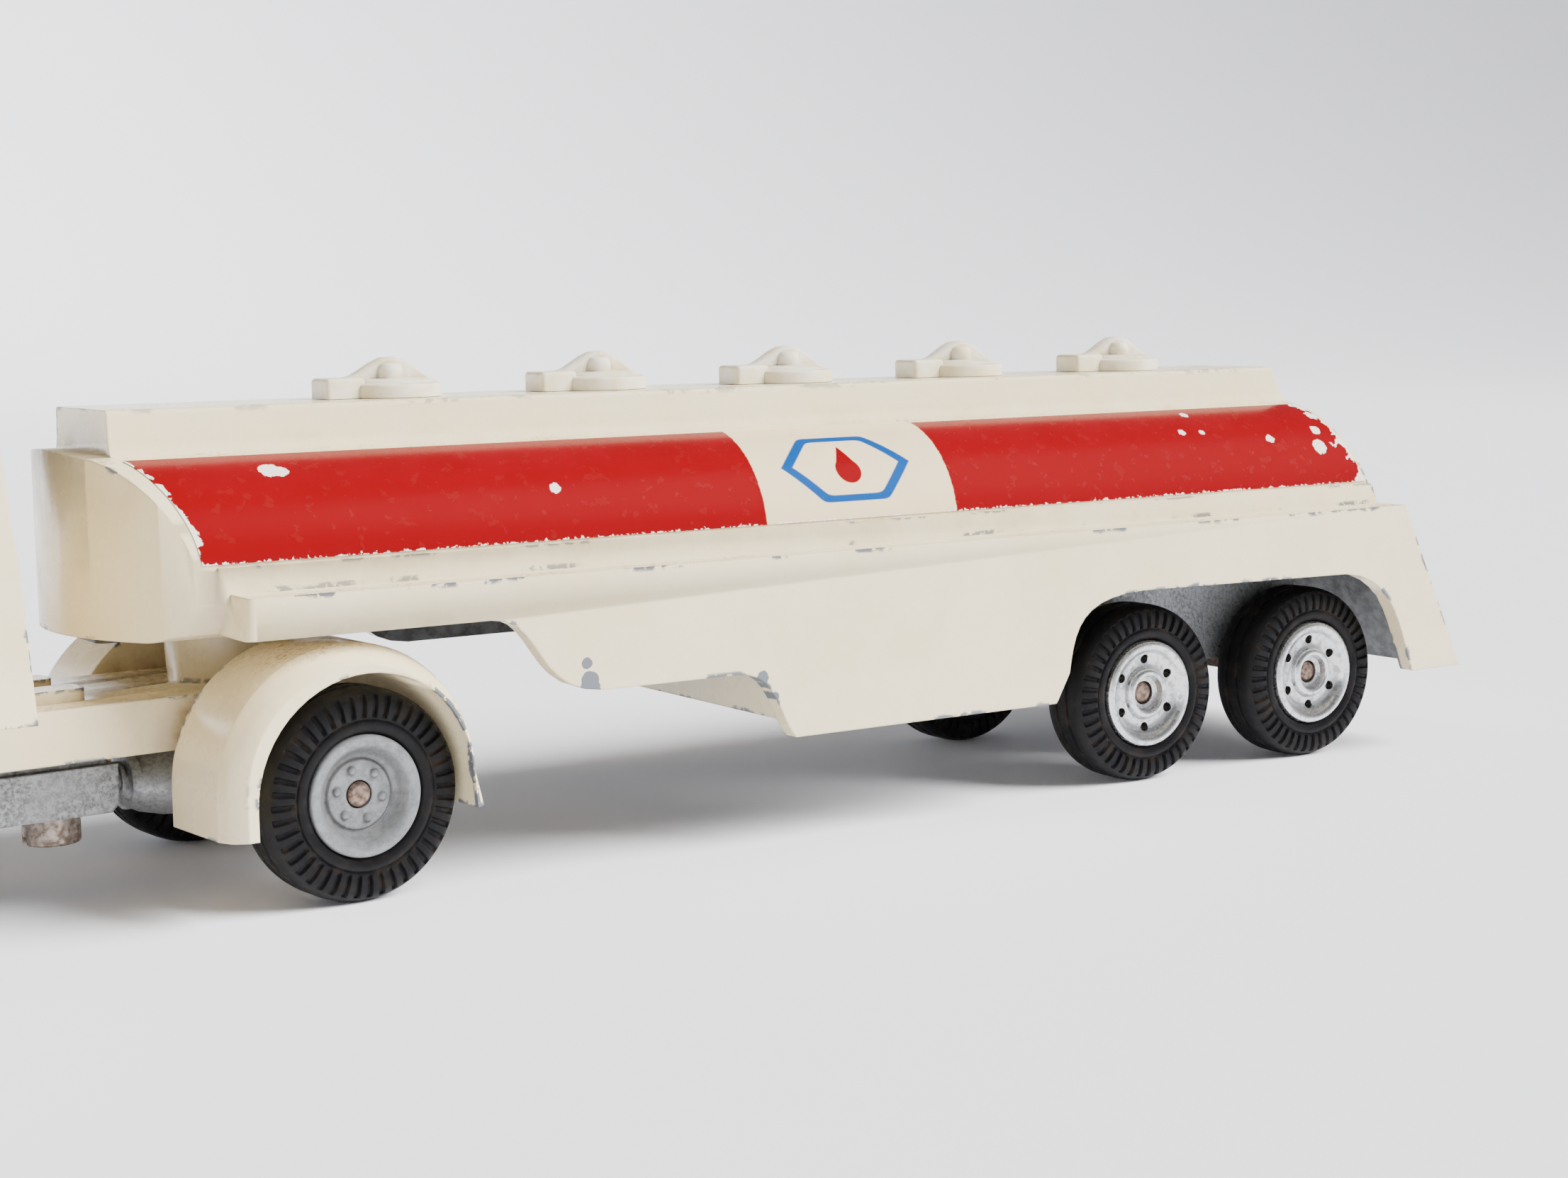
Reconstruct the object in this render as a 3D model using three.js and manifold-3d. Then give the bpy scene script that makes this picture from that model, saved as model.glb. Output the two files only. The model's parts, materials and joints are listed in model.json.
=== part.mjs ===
// Toy articulated fuel tanker, die-cast zinc, scale 1:50.
// Millimetres: +X forwards, towards the cab, +Y to the left of someone facing forwards, +Z up.
// The trailer lies along X and the tractor is turned a little about the coupling pin.
import * as THREE from "three";
import { mergeVertices } from "three/addons/utils/BufferGeometryUtils.js";
import Module from "manifold-3d";

const wasm = await Module();
wasm.setup();

// ---- Driving dimensions ------------------------------------------------------------------

const GAP = 0.3; // between a cut piece and the piece that it was cut to fit

// wheels
const TYRE_R = 10.5;
const TYRE_WIDTH = 7.0;
const TRACTOR_HUB_R = 6.0;
const TRAILER_HUB_R = 6.3;
const BEAD_GAP = 0.08; // tyre to rim
const AXLE_R = 1.25;
const AXLE_CLEARANCE = 0.2; // axle to the casting that it turns in
const HUB_BORE_GAP = 0.1;
const TRAILER_TRACK_HALF = 20.7; // to the outer face of a tyre
const TRACTOR_TRACK_HALF = 22.0;

// trailer: x is measured from its front axle, z from the ground
const TRAILER_AXLE_SPACING = 26.8;
const SKIRT_HALF = 24.4;
const SKIRT_TOP = 30.8;
const SKIRT_FRONT = 112.2;
const SKIRT_WALL = 2.0;
const STEP_HIGH = 26.8; // underside heights of the stepped skirt, front to back
const STEP_MIDDLE = 18.8;
const STEP_LOW = 11.5;
const STEP_REAR = 9.9;
const TANK_HALF = 19.2;
const TANK_SIDE_TOP = 31.6; // where the upright side turns into the shoulder
const SHOULDER_R = 11.9;
const TANK_CROWN = 44.1;
const BAND_HALF = 19.65; // raised foot of the tank, above the shelf
const BAND_TOP = 33.3;
const RAIL_HALF = 7.8;
const RAIL_TOP = 47.9;
const RAIL_FRONT = 119.0;
const NOSE_CENTRE = 96.0; // centre of the upright drum that rounds the nose
const NOSE_R = 26.9;
const TANK_BOTTOM = 26.3; // seen under the nose only
const TAIL_TOP_X = -32.0; // raked tail at the rail's top,
const TAIL_SHELF_X = -38.7; // where it meets the shelf
const TAIL_FOOT_X = -48.7; // and at the skirt's foot
const TANK_WALL = 1.8;
const CROSS_WALL_X = 53.3; // front of the wall between the skirts, behind the lower step
const CROSS_WALL_BOTTOM = 13.3;
const COUPLING_X = 105.6;

// filler hatches
const HATCH_COUNT = 5;
const HATCH_FIRST_X = 86.0;
const HATCH_PITCH = 24.7;
const HATCH_R = 5.1;
const HATCH_WALL = 1.4;

// tractor: x is measured from its rear axle, before it is turned
const TRACTOR_TURN = THREE.MathUtils.degToRad(5);
const WHEELBASE = 50.0;
const PIN_X = 4.0; // coupling pin, ahead of the rear axle
const GUARD_HALF = 24.6; // outer face of a rear mudguard
const GUARD_INNER = 12.3; // inner face of its web
const GUARD_WEB = 1.2;
const GUARD_CENTRE = [2.0, 12.0]; // x and z of the outer curve
const GUARD_R = 13.6;
const GUARD_HOLLOW_CENTRE = [0.9, 11.1]; // the inner curve sits a little further back and lower
const GUARD_HOLLOW_R = 11.75;
const GUARD_FOOT = 8.3;
const GUARD_FLARE = 0.9; // how far the rear foot kicks out
const RAIL_BOTTOM = 15.2;
const RAIL_DECK = 20.4;
const CHASSIS_HALF = 10.0;
const BEARER_TOP = 21.6; // two raised bars on the deck, under the cab
const BEARER_HALF = 6.0;
const BEARER_WIDTH = 3.8;
const BEARER_REAR = 20.9;
const FIFTH_WHEEL_TOP = 25.6;
const FIFTH_WHEEL_R = 5.9; // at its top, from which it tapers to its foot
const FIFTH_WHEEL_FOOT_R = 5.2;
const CAB_REAR = 32.8;
const CAB_FRONT = 73.0;
const CAB_HALF = 24.0;
const CAB_BOTTOM = 21.5;
const CAB_TOP = 53.5;
const CAB_WALL = 1.6;
const BASE_BOTTOM = 9.2;

// ---- Materials ---------------------------------------------------------------------------

const paint = new THREE.MeshStandardMaterial({ color: 0xe6dfcb, roughness: 0.32 });
const zinc = new THREE.MeshStandardMaterial({ color: 0x8d9396, roughness: 0.5, metalness: 0.9 });
const plated = new THREE.MeshStandardMaterial({ color: 0xc9cfcf, roughness: 0.25, metalness: 1 });
const steel = new THREE.MeshStandardMaterial({ color: 0x8a7a70, roughness: 0.4, metalness: 0.9 });
const rubber = new THREE.MeshStandardMaterial({ color: 0x1b1a1c, roughness: 0.75 });
const hatchPlastic = new THREE.MeshStandardMaterial({ color: 0xdcd0ae, roughness: 0.45 });
const blackPlastic = new THREE.MeshStandardMaterial({ color: 0x161616, roughness: 0.5 });
const redPlastic = new THREE.MeshStandardMaterial({ color: 0x9d2a22, roughness: 0.45 });
const clearPlastic = new THREE.MeshStandardMaterial({ color: 0xbfd3d8, roughness: 0.1 });
const label = new THREE.MeshStandardMaterial({ color: 0xc22b2e, roughness: 0.3 });

// ---- Solids ------------------------------------------------------------------------------

function solid(geometry) {
  const plain = geometry.clone();
  plain.deleteAttribute("normal");
  plain.deleteAttribute("uv");
  const merged = mergeVertices(plain, 1e-4);
  const triVerts = new Uint32Array(merged.index.array);
  const vertProperties = merged.attributes.position.array;
  const made = new wasm.Manifold(new wasm.Mesh({ numProp: 3, vertProperties, triVerts }));
  if (made.volume() > 0) return made;
  for (let i = 0; i < triVerts.length; i += 3) {
    [triVerts[i + 1], triVerts[i + 2]] = [triVerts[i + 2], triVerts[i + 1]];
  }
  return new wasm.Manifold(new wasm.Mesh({ numProp: 3, vertProperties, triVerts }));
}

function join(...pieces) {
  return pieces.reduce((whole, piece) => whole.add(piece));
}

function cut(whole, ...tools) {
  return tools.reduce((rest, tool) => rest.subtract(tool), whole);
}

function box(x0, x1, y0, y1, z0, z1) {
  const geometry = new THREE.BoxGeometry(x1 - x0, y1 - y0, z1 - z0);
  return solid(geometry.translate((x0 + x1) / 2, (y0 + y1) / 2, (z0 + z1) / 2));
}

const extrudeOptions = (depth, curveSegments) => ({ depth, bevelEnabled: false, curveSegments });

// an outline in (x, z), swept from y0 to y1
function sweepY(outline, y0, y1, curveSegments = 8) {
  const geometry = new THREE.ExtrudeGeometry(outline, extrudeOptions(y1 - y0, curveSegments));
  return solid(geometry.rotateX(Math.PI / 2).translate(0, y1, 0));
}

// an outline in (y, z), swept from x0 to x1
const TO_X = new THREE.Matrix4().makeBasis(
  new THREE.Vector3(0, 1, 0),
  new THREE.Vector3(0, 0, 1),
  new THREE.Vector3(1, 0, 0),
);
function sweepX(outline, x0, x1, curveSegments = 8) {
  const geometry = new THREE.ExtrudeGeometry(outline, extrudeOptions(x1 - x0, curveSegments));
  return solid(geometry.applyMatrix4(TO_X).translate(x0, 0, 0));
}

// an outline in (x, y), swept from z0 to z1
function sweepZ(outline, z0, z1, curveSegments = 8) {
  const geometry = new THREE.ExtrudeGeometry(outline, extrudeOptions(z1 - z0, curveSegments));
  return solid(geometry.translate(0, 0, z0));
}

function cylinderY(radius, y0, y1, x, z, sides = 24) {
  const geometry = new THREE.CylinderGeometry(radius, radius, y1 - y0, sides);
  return solid(geometry.translate(x, (y0 + y1) / 2, z));
}

function cylinderZ(radius, z0, z1, x, y, sides = 24, topRadius = radius) {
  const geometry = new THREE.CylinderGeometry(topRadius, radius, z1 - z0, sides);
  return solid(geometry.rotateX(Math.PI / 2).translate(x, y, (z0 + z1) / 2));
}

function cylinderX(radius, x0, x1, y, z, sides = 20) {
  const geometry = new THREE.CylinderGeometry(radius, radius, x1 - x0, sides);
  return solid(geometry.rotateZ(Math.PI / 2).translate((x0 + x1) / 2, y, z));
}

// a closed profile of [radius, y] turned about the y axis
function turned(profile, sides) {
  const points = profile.map(([radius, y]) => new THREE.Vector2(radius, y));
  points.push(points[0].clone());
  return solid(new THREE.LatheGeometry(points, sides));
}

function polygon(points) {
  return new THREE.Shape(points.map(([a, b]) => new THREE.Vector2(a, b)));
}

function mesh(name, piece, material) {
  const { vertProperties, triVerts } = piece.getMesh();
  const geometry = new THREE.BufferGeometry();
  geometry.setAttribute("position", new THREE.BufferAttribute(new Float32Array(vertProperties), 3));
  geometry.setIndex(new THREE.BufferAttribute(new Uint32Array(triVerts), 1));
  geometry.computeVertexNormals();
  const made = new THREE.Mesh(geometry, material);
  made.name = name;
  return made;
}

// ---- Trailer -----------------------------------------------------------------------------

// the tail leans forwards, a little more steeply above the shelf than below it
function tailX(z) {
  const lower = (TAIL_SHELF_X - TAIL_FOOT_X) / (SKIRT_TOP - STEP_REAR);
  const upper = (TAIL_TOP_X - TAIL_SHELF_X) / (RAIL_TOP - SKIRT_TOP);
  return TAIL_SHELF_X + (z - SKIRT_TOP) * (z < SKIRT_TOP ? lower : upper);
}

// everything ahead of the tail, moved forwards by inset, between heights low and high
function aheadOfTail(inset, low, high, front) {
  return polygon([
    [tailX(low) + inset, low],
    [tailX(SKIRT_TOP) + inset, SKIRT_TOP],
    [tailX(high) + inset, high],
    [front, high],
    [front, low],
  ]);
}

// cross-section of the tank, without its rail; inset moves every wall inwards
function tankSection(inset = 0) {
  const half = TANK_HALF - inset;
  const shoulderR = SHOULDER_R - inset;
  const shoulderY = TANK_HALF - SHOULDER_R;
  const bottom = TANK_BOTTOM + inset;
  const corner = 4.5 - inset;
  const turn = THREE.MathUtils.degToRad(81);
  const endY = shoulderY + shoulderR * Math.cos(turn);
  const endZ = TANK_SIDE_TOP + shoulderR * Math.sin(turn);
  const s = new THREE.Shape();
  s.moveTo(-half + corner, bottom);
  s.lineTo(half - corner, bottom);
  s.absarc(half - corner, bottom + corner, corner, -Math.PI / 2, 0);
  s.absarc(shoulderY, TANK_SIDE_TOP, shoulderR, 0, turn);
  s.quadraticCurveTo(endY / 2, TANK_CROWN - inset, 0, TANK_CROWN - inset);
  s.quadraticCurveTo(-endY / 2, TANK_CROWN - inset, -endY, endZ);
  s.absarc(-shoulderY, TANK_SIDE_TOP, shoulderR, Math.PI - turn, Math.PI);
  s.absarc(-half + corner, bottom + corner, corner, Math.PI, 1.5 * Math.PI);
  return s;
}

// cross-section of the roof rail with the fillets at its foot
function railSection() {
  const foot = 42.4;
  const fillet = 1.5;
  const round = 0.6;
  const s = new THREE.Shape();
  s.moveTo(-RAIL_HALF - fillet - 0.3, foot);
  s.lineTo(RAIL_HALF + fillet + 0.3, foot);
  s.lineTo(RAIL_HALF + fillet, 43.2);
  s.quadraticCurveTo(RAIL_HALF + 0.3, 43.45, RAIL_HALF + 0.15, 43.3 + fillet);
  s.lineTo(RAIL_HALF, RAIL_TOP - round);
  s.quadraticCurveTo(RAIL_HALF, RAIL_TOP, RAIL_HALF - round, RAIL_TOP);
  s.lineTo(-RAIL_HALF + round, RAIL_TOP);
  s.quadraticCurveTo(-RAIL_HALF, RAIL_TOP, -RAIL_HALF, RAIL_TOP - round);
  s.lineTo(-RAIL_HALF - 0.15, 43.3 + fillet);
  s.quadraticCurveTo(-RAIL_HALF - 0.3, 43.45, -RAIL_HALF - fillet, 43.2);
  return s;
}

// side outline of the skirts, with the two steps and the wheel arch
function skirtOutline() {
  const s = new THREE.Shape();
  s.moveTo(tailX(SKIRT_TOP), SKIRT_TOP);
  s.lineTo(TAIL_FOOT_X, STEP_REAR);
  s.lineTo(-40.2, STEP_REAR);
  s.bezierCurveTo(-38.1, 14.4, -37.5, 22.2, -28.5, 22.9);
  s.lineTo(4.0, 23.4);
  s.bezierCurveTo(13.5, 23.2, 14.3, 19.8, 15.1, 14.8);
  s.lineTo(17.0, STEP_LOW);
  s.lineTo(52.2, STEP_LOW);
  s.bezierCurveTo(54.4, 13.6, 54.2, STEP_MIDDLE, 59.3, STEP_MIDDLE);
  s.lineTo(75.1, STEP_MIDDLE);
  s.bezierCurveTo(83.2, 19.1, 81.6, STEP_HIGH, 87.4, STEP_HIGH);
  s.lineTo(SKIRT_FRONT, STEP_HIGH);
  s.lineTo(SKIRT_FRONT - 0.4, SKIRT_TOP);
  return s;
}

function tankBody() {
  const far = 60;
  const ahead = NOSE_CENTRE + NOSE_R + 5;
  const noseDrum = cylinderZ(NOSE_R, 0, far, NOSE_CENTRE, 0, 96);
  const behindNose = box(-far, NOSE_CENTRE, -far, far, 0, far);
  const tank = sweepX(tankSection(), -far, ahead, 14).intersect(join(noseDrum, behindNose));
  const band = box(-far, SKIRT_FRONT + 0.6, -BAND_HALF, BAND_HALF, SKIRT_TOP - 1, BAND_TOP);
  const rail = sweepX(railSection(), -far, RAIL_FRONT, 5);
  const corner = 1.0;
  const plan = new THREE.Shape();
  plan.moveTo(-far, -SKIRT_HALF);
  plan.lineTo(SKIRT_FRONT - corner, -SKIRT_HALF);
  plan.absarc(SKIRT_FRONT - corner, -SKIRT_HALF + corner, corner, -Math.PI / 2, 0);
  plan.absarc(SKIRT_FRONT - corner, SKIRT_HALF - corner, corner, 0, Math.PI / 2);
  plan.lineTo(-far, SKIRT_HALF);
  const skirts = sweepY(skirtOutline(), -SKIRT_HALF, SKIRT_HALF, 10).intersect(sweepZ(plan, 0, far, 4));
  const tail = aheadOfTail(0, 0, far, ahead);
  const outer = join(tank, band, rail, skirts).intersect(sweepY(tail, -far, far));

  // the hollow under the skirts and the hollow inside the tank, both open underneath
  const tailWall = 2.2;
  const hollowFront = 96;
  const inner = SKIRT_HALF - SKIRT_WALL;
  const under = polygon([
    [tailX(0) + tailWall, 0],
    [tailX(SKIRT_TOP - SKIRT_WALL) + tailWall, SKIRT_TOP - SKIRT_WALL],
    [hollowFront, SKIRT_TOP - SKIRT_WALL],
    [hollowFront, 0],
  ]);
  const inside = aheadOfTail(tailWall, 20, 46, hollowFront);
  const tankHollow = join(
    sweepX(tankSection(TANK_WALL), -far, hollowFront, 8),
    box(-far, hollowFront, -TANK_HALF + TANK_WALL, TANK_HALF - TANK_WALL, 20, 31),
  ).intersect(sweepY(inside, -far, far));
  const socket = cylinderZ(PIN_HEAD_R + 0.4, 0, STEP_HIGH + 3.2, COUPLING_X, 0, 24);
  const screwBores = BOGIE_SCREWS_X.map((x) => cylinderZ(SCREW_R + GAP, 20, 30, x, 0, 16));
  const lugs = join(
    ...BOGIE_SCREWS_X.map((x) => cylinderZ(3.4, BOGIE_TOP + GAP, 46.5, x, 0, 20)),
  );
  const hollowed = cut(outer, sweepY(under, -inner, inner), tankHollow);
  const overlap = 0.5;
  const crossWall = box(
    CROSS_WALL_X - TANK_WALL,
    CROSS_WALL_X,
    -inner - overlap,
    inner + overlap,
    CROSS_WALL_BOTTOM,
    SKIRT_TOP - 1,
  );
  return cut(join(hollowed, lugs, crossWall), socket, ...screwBores);
}

// one-piece hatch: round lid, hinge block in front, arched strap bar and centre knob
function hatch() {
  const foot = RAIL_TOP;
  const lid = cylinderZ(HATCH_R, foot, foot + HATCH_WALL, 0, 0, 28);
  const dome = cylinderZ(HATCH_R - 0.5, foot + HATCH_WALL, foot + HATCH_WALL + 0.5, 0, 0, 28, 3.2);
  const block = box(HATCH_R - 1.2, HATCH_R + 3.1, -2.2, 2.2, foot, foot + 2.1);
  const arch = new THREE.Shape();
  arch.moveTo(-HATCH_R + 0.2, foot + 0.4);
  arch.lineTo(HATCH_R + 0.6, foot + 0.4);
  arch.lineTo(HATCH_R + 0.4, foot + 2.1);
  arch.quadraticCurveTo(2.6, foot + 4.0, 0.9, foot + 4.15);
  arch.quadraticCurveTo(-1.6, foot + 4.1, -HATCH_R + 0.2, foot + 1.7);
  const strap = sweepY(arch, -1.0, 1.0, 6);
  const knob = cylinderZ(1.35, foot + 1, foot + 3.5, 0.7, 0.9, 14, 1.1);
  return join(lid, dome, block, strap, knob);
}

// side label, wrapped round the shoulder of the tank
const LABEL_LOW = 33.6;
const LABEL_HIGH_TURN = THREE.MathUtils.degToRad(75);
const LABEL_THICK = 0.06;
const LABEL_GAP = 0.03;
const LABEL_FRONT_CENTRE = 86.1; // the front end is cut to an upright drum of its own
const LABEL_FRONT_R = 34.0;
function sideLabel(side) {
  const shoulderY = TANK_HALF - SHOULDER_R;
  const low = Math.asin((LABEL_LOW - TANK_SIDE_TOP) / SHOULDER_R);
  const inner = SHOULDER_R + LABEL_GAP + 0.02;
  const outer = inner + LABEL_THICK;
  const steps = 14;
  const arc = (radius) =>
    Array.from({ length: steps + 1 }, (_, i) => {
      const turn = low + ((LABEL_HIGH_TURN - low) * i) / steps;
      return [side * (shoulderY + radius * Math.cos(turn)), TANK_SIDE_TOP + radius * Math.sin(turn)];
    });
  const strip = sweepX(polygon([...arc(outer), ...arc(inner).reverse()]), -60, 130);
  const drum = cylinderZ(LABEL_FRONT_R, 0, 60, LABEL_FRONT_CENTRE, 0, 96);
  const front = join(drum, box(-60, LABEL_FRONT_CENTRE, -60, 60, 0, 60));
  const rear = aheadOfTail(0.6, 0, 60, 200);
  return strip.intersect(front).intersect(sweepY(rear, -60, 60));
}

const BOGIE_TOP = 24.4;
const BOGIE_HALF = 12.6;
const BOGIE_WALL = 1.5;
const BOGIE_SCREWS_X = [-2.5, -23.9];
const SCREW_R = 1.1;
function bogieCarrier() {
  const rear = -TRAILER_AXLE_SPACING;
  const boss = 3.1;
  const s = new THREE.Shape();
  s.moveTo(rear - 5, BOGIE_TOP);
  s.lineTo(rear - boss, TYRE_R);
  s.absarc(rear, TYRE_R, boss, Math.PI, 1.9 * Math.PI);
  s.lineTo(rear + 6.5, 12.2);
  s.lineTo(-6.5, 12.2);
  s.absarc(0, TYRE_R, boss, 1.1 * Math.PI, 2 * Math.PI);
  s.lineTo(5, BOGIE_TOP);
  const sides = sweepY(s, -BOGIE_HALF, BOGIE_HALF, 6);
  const middle = box(-60, 60, -BOGIE_HALF + BOGIE_WALL, BOGIE_HALF - BOGIE_WALL, 0, BOGIE_TOP - BOGIE_WALL);
  const bores = [0, rear].map((x) => cylinderY(AXLE_R + AXLE_CLEARANCE, -30, 30, x, TYRE_R, 20));
  const screwBores = BOGIE_SCREWS_X.map((x) => cylinderZ(SCREW_R + GAP, 0, 60, x, 0, 16));
  return cut(sides, middle, ...bores, ...screwBores);
}

// cheese-head screw, slot in the underside of its head, shank upwards
function screw(headR, headBottom, headTop, shankTop) {
  const head = cylinderZ(headR, headBottom, headTop, 0, 0, 28);
  const shank = cylinderZ(SCREW_R, headTop - 0.2, shankTop, 0, 0, 16);
  const slot = box(-headR - 1, headR + 1, -0.55, 0.55, headBottom - 1, headBottom + 0.9);
  return cut(join(head, shank), slot);
}

// ---- Wheels ------------------------------------------------------------------------------

const HUB_BORE = AXLE_R + HUB_BORE_GAP;

// outer face of the tyre lies at y = 0 and the wheel reaches towards -y
function tyre(hubR) {
  const bore = hubR + BEAD_GAP;
  const profile = [
    [bore, -0.5],
    [bore + 0.5, -0.25],
    [hubR + 1.5, 0],
    [TYRE_R * 0.9, 0],
    [TYRE_R - 0.25, -0.95],
    [TYRE_R, -1.7],
    [TYRE_R, -TYRE_WIDTH + 1.7],
    [TYRE_R - 0.25, -TYRE_WIDTH + 0.95],
    [TYRE_R * 0.9, -TYRE_WIDTH],
    [bore, -TYRE_WIDTH],
  ];
  return turned(profile, 24);
}

// deep-dish hub of the tractor, with six domed nuts on its recessed disc
function tractorHub() {
  const profile = [
    [HUB_BORE, -1.7],
    [3.5, -1.7],
    [3.9, -1.5],
    [4.7, -0.3],
    [5.9, -0.1],
    [TRACTOR_HUB_R, -0.35],
    [TRACTOR_HUB_R, -TYRE_WIDTH + 0.2],
    [2.6, -TYRE_WIDTH - 0.9],
    [HUB_BORE, -TYRE_WIDTH - 0.9],
  ];
  const nuts = Array.from({ length: 6 }, (_, i) => {
    const turn = ((i + 0.25) * Math.PI) / 3;
    const geometry = new THREE.CylinderGeometry(0.35, 0.55, 0.9, 6);
    return solid(geometry.translate(2.5 * Math.cos(turn), -1.7, 2.5 * Math.sin(turn)));
  });
  return join(turned(profile, 20), ...nuts);
}

// plated hub of the trailer: rounded lip, dished face with six holes and a raised boss
function trailerHub() {
  const profile = [
    [HUB_BORE, -0.9],
    [1.9, -0.9],
    [2.3, 0.05],
    [2.9, 0.05],
    [3.2, -0.75],
    [4.9, -0.45],
    [5.3, 0.25],
    [5.9, 0.3],
    [TRAILER_HUB_R, -0.2],
    [TRAILER_HUB_R, -TYRE_WIDTH + 0.2],
    [2.6, -TYRE_WIDTH - 0.6],
    [HUB_BORE, -TYRE_WIDTH - 0.6],
  ];
  const holes = Array.from({ length: 6 }, (_, i) => {
    const turn = ((i + 0.5) * Math.PI) / 3;
    return cylinderY(0.55, -1.8, 1, 4.05 * Math.cos(turn), 4.05 * Math.sin(turn), 6);
  });
  return cut(turned(profile, 20), ...holes);
}

// axle, two hubs and two tyres that turn together
function wheelset(prefix, trackHalf, hub, hubR, hubMaterial, axleInset) {
  const group = new THREE.Group();
  const axleEnd = trackHalf - axleInset;
  group.add(mesh(`${prefix}_axle`, cylinderY(AXLE_R, -axleEnd, axleEnd, 0, 0, 20), steel));
  for (const [word, turn] of [["left", 0], ["right", Math.PI]]) {
    const wheel = new THREE.Group();
    wheel.rotation.z = turn;
    const outward = new THREE.Group();
    outward.position.y = trackHalf;
    outward.add(mesh(`${prefix}_hub_${word}`, hub(), hubMaterial));
    outward.add(mesh(`${prefix}_tyre_${word}`, tyre(hubR), rubber));
    wheel.add(outward);
    group.add(wheel);
  }
  group.position.z = TYRE_R;
  return group;
}

// ---- Coupling ----------------------------------------------------------------------------

const PIN_R = 1.8;
const PIN_HEAD_R = 2.6;
const PLATE_THICK = 0.5;
const PLATE_GAP = 0.05;
// the pin stands in the fifth wheel, free to turn, and its head fills the trailer's socket
function couplingPin() {
  const foot = cylinderZ(3.2, RAIL_BOTTOM - 1.2, RAIL_BOTTOM - GAP, 0, 0, 24);
  const shank = cylinderZ(PIN_R, RAIL_BOTTOM - 1, STEP_HIGH + 0.4, 0, 0, 24);
  const head = cylinderZ(PIN_HEAD_R, STEP_HIGH + 0.2, STEP_HIGH + 2.6, 0, 0, 24, PIN_HEAD_R - 0.6);
  return join(foot, shank, head);
}

// black plate that the trailer's nose rides on
function couplingPlate() {
  const top = TANK_BOTTOM - PLATE_GAP;
  const plate = sweepZ(roundedPlan(-9.5, 15.3, 8.2, 1.2), top - PLATE_THICK, top, 5);
  return cut(plate, cylinderZ(PIN_HEAD_R + 0.4, 0, 40, 0, 0, 24));
}

// ---- Tractor -----------------------------------------------------------------------------

// a convex outline in (x, z), swept between the mudguard's faces and rounded over at the outer one
function roundedOver(outline) {
  const slice = (inset, y0, y1) => sweepY(outline(inset), y0, y1, 18);
  return wasm.Manifold.hull([
    slice(0, GUARD_INNER, GUARD_HALF - 2.6),
    slice(0.6, GUARD_HALF - 1.0, GUARD_HALF - 0.9),
    slice(1.9, GUARD_HALF - 0.1, GUARD_HALF),
  ]);
}

function mudguard() {
  const arch = ([x, z], radius, foot) => {
    const s = new THREE.Shape();
    s.moveTo(x + radius, foot);
    s.lineTo(x + radius, z);
    s.absarc(x, z, radius, 0, Math.PI);
    s.lineTo(x - radius, foot);
    return s;
  };
  const crown = roundedOver((inset) => arch(GUARD_CENTRE, GUARD_R - inset, GUARD_FOOT));
  const rear = GUARD_CENTRE[0] - GUARD_R;
  const rearFoot = roundedOver((inset) =>
    polygon([
      [rear - GUARD_FLARE + inset, GUARD_FOOT],
      [rear + 4, GUARD_FOOT],
      [rear + 4, GUARD_CENTRE[1]],
      [rear + inset, GUARD_CENTRE[1]],
    ]),
  );
  const hollowArch = arch(GUARD_HOLLOW_CENTRE, GUARD_HOLLOW_R, 0);
  const hollow = sweepY(hollowArch, GUARD_INNER + GUARD_WEB, GUARD_HALF + 5, 14);
  return join(crown, rearFoot).subtract(hollow);
}

function tractorChassis() {
  const guard = mudguard();
  const slab = box(-13, 68, -CHASSIS_HALF, CHASSIS_HALF, RAIL_BOTTOM, RAIL_DECK);
  const channel = box(17, 62, -CHASSIS_HALF + 2, CHASSIS_HALF - 2, 0, RAIL_DECK - 1.8);
  const bearer = sweepZ(roundedPlan(BEARER_REAR, 66, BEARER_WIDTH / 2, 1.0), RAIL_DECK - 0.2, BEARER_TOP, 5);
  const bearerY = BEARER_HALF - BEARER_WIDTH / 2;
  const fifthWheel = cylinderZ(FIFTH_WHEEL_FOOT_R, RAIL_BOTTOM, FIFTH_WHEEL_TOP, PIN_X, 0, 40, FIFTH_WHEEL_R);
  const lugHalf = 9.6;
  const lugs = [-1, 1].map((side) => {
    const inner = side * 6.4;
    const outer = side * lugHalf;
    const x = WHEELBASE;
    return box(x - 3.4, x + 3.4, Math.min(inner, outer), Math.max(inner, outer), 7.8, RAIL_DECK);
  });
  const spineHalf = GUARD_INNER + GUARD_WEB / 2;
  const spine = box(-9, 12, -spineHalf, spineHalf, RAIL_BOTTOM, 19.5);
  const body = join(
    slab.subtract(channel),
    bearer.translate([0, bearerY, 0]),
    bearer.translate([0, -bearerY, 0]),
    fifthWheel,
    spine,
    ...lugs,
    guard,
    guard.mirror([0, 1, 0]),
  );
  const clearance = AXLE_R + AXLE_CLEARANCE;
  return cut(
    body,
    cylinderY(clearance, -30, 30, 0, TYRE_R, 20),
    cylinderY(clearance, -30, 30, WHEELBASE, TYRE_R, 20),
    cylinderZ(PIN_R + 0.15, 0, 60, PIN_X, 0, 28),
    cylinderZ(3.6, 0, RAIL_BOTTOM, PIN_X, 0, 28),
    ...BASE_SCREWS_X.map((x) => cylinderZ(SCREW_R + GAP, 0, RAIL_DECK - 0.6, x, 0, 16)),
  );
}

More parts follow.
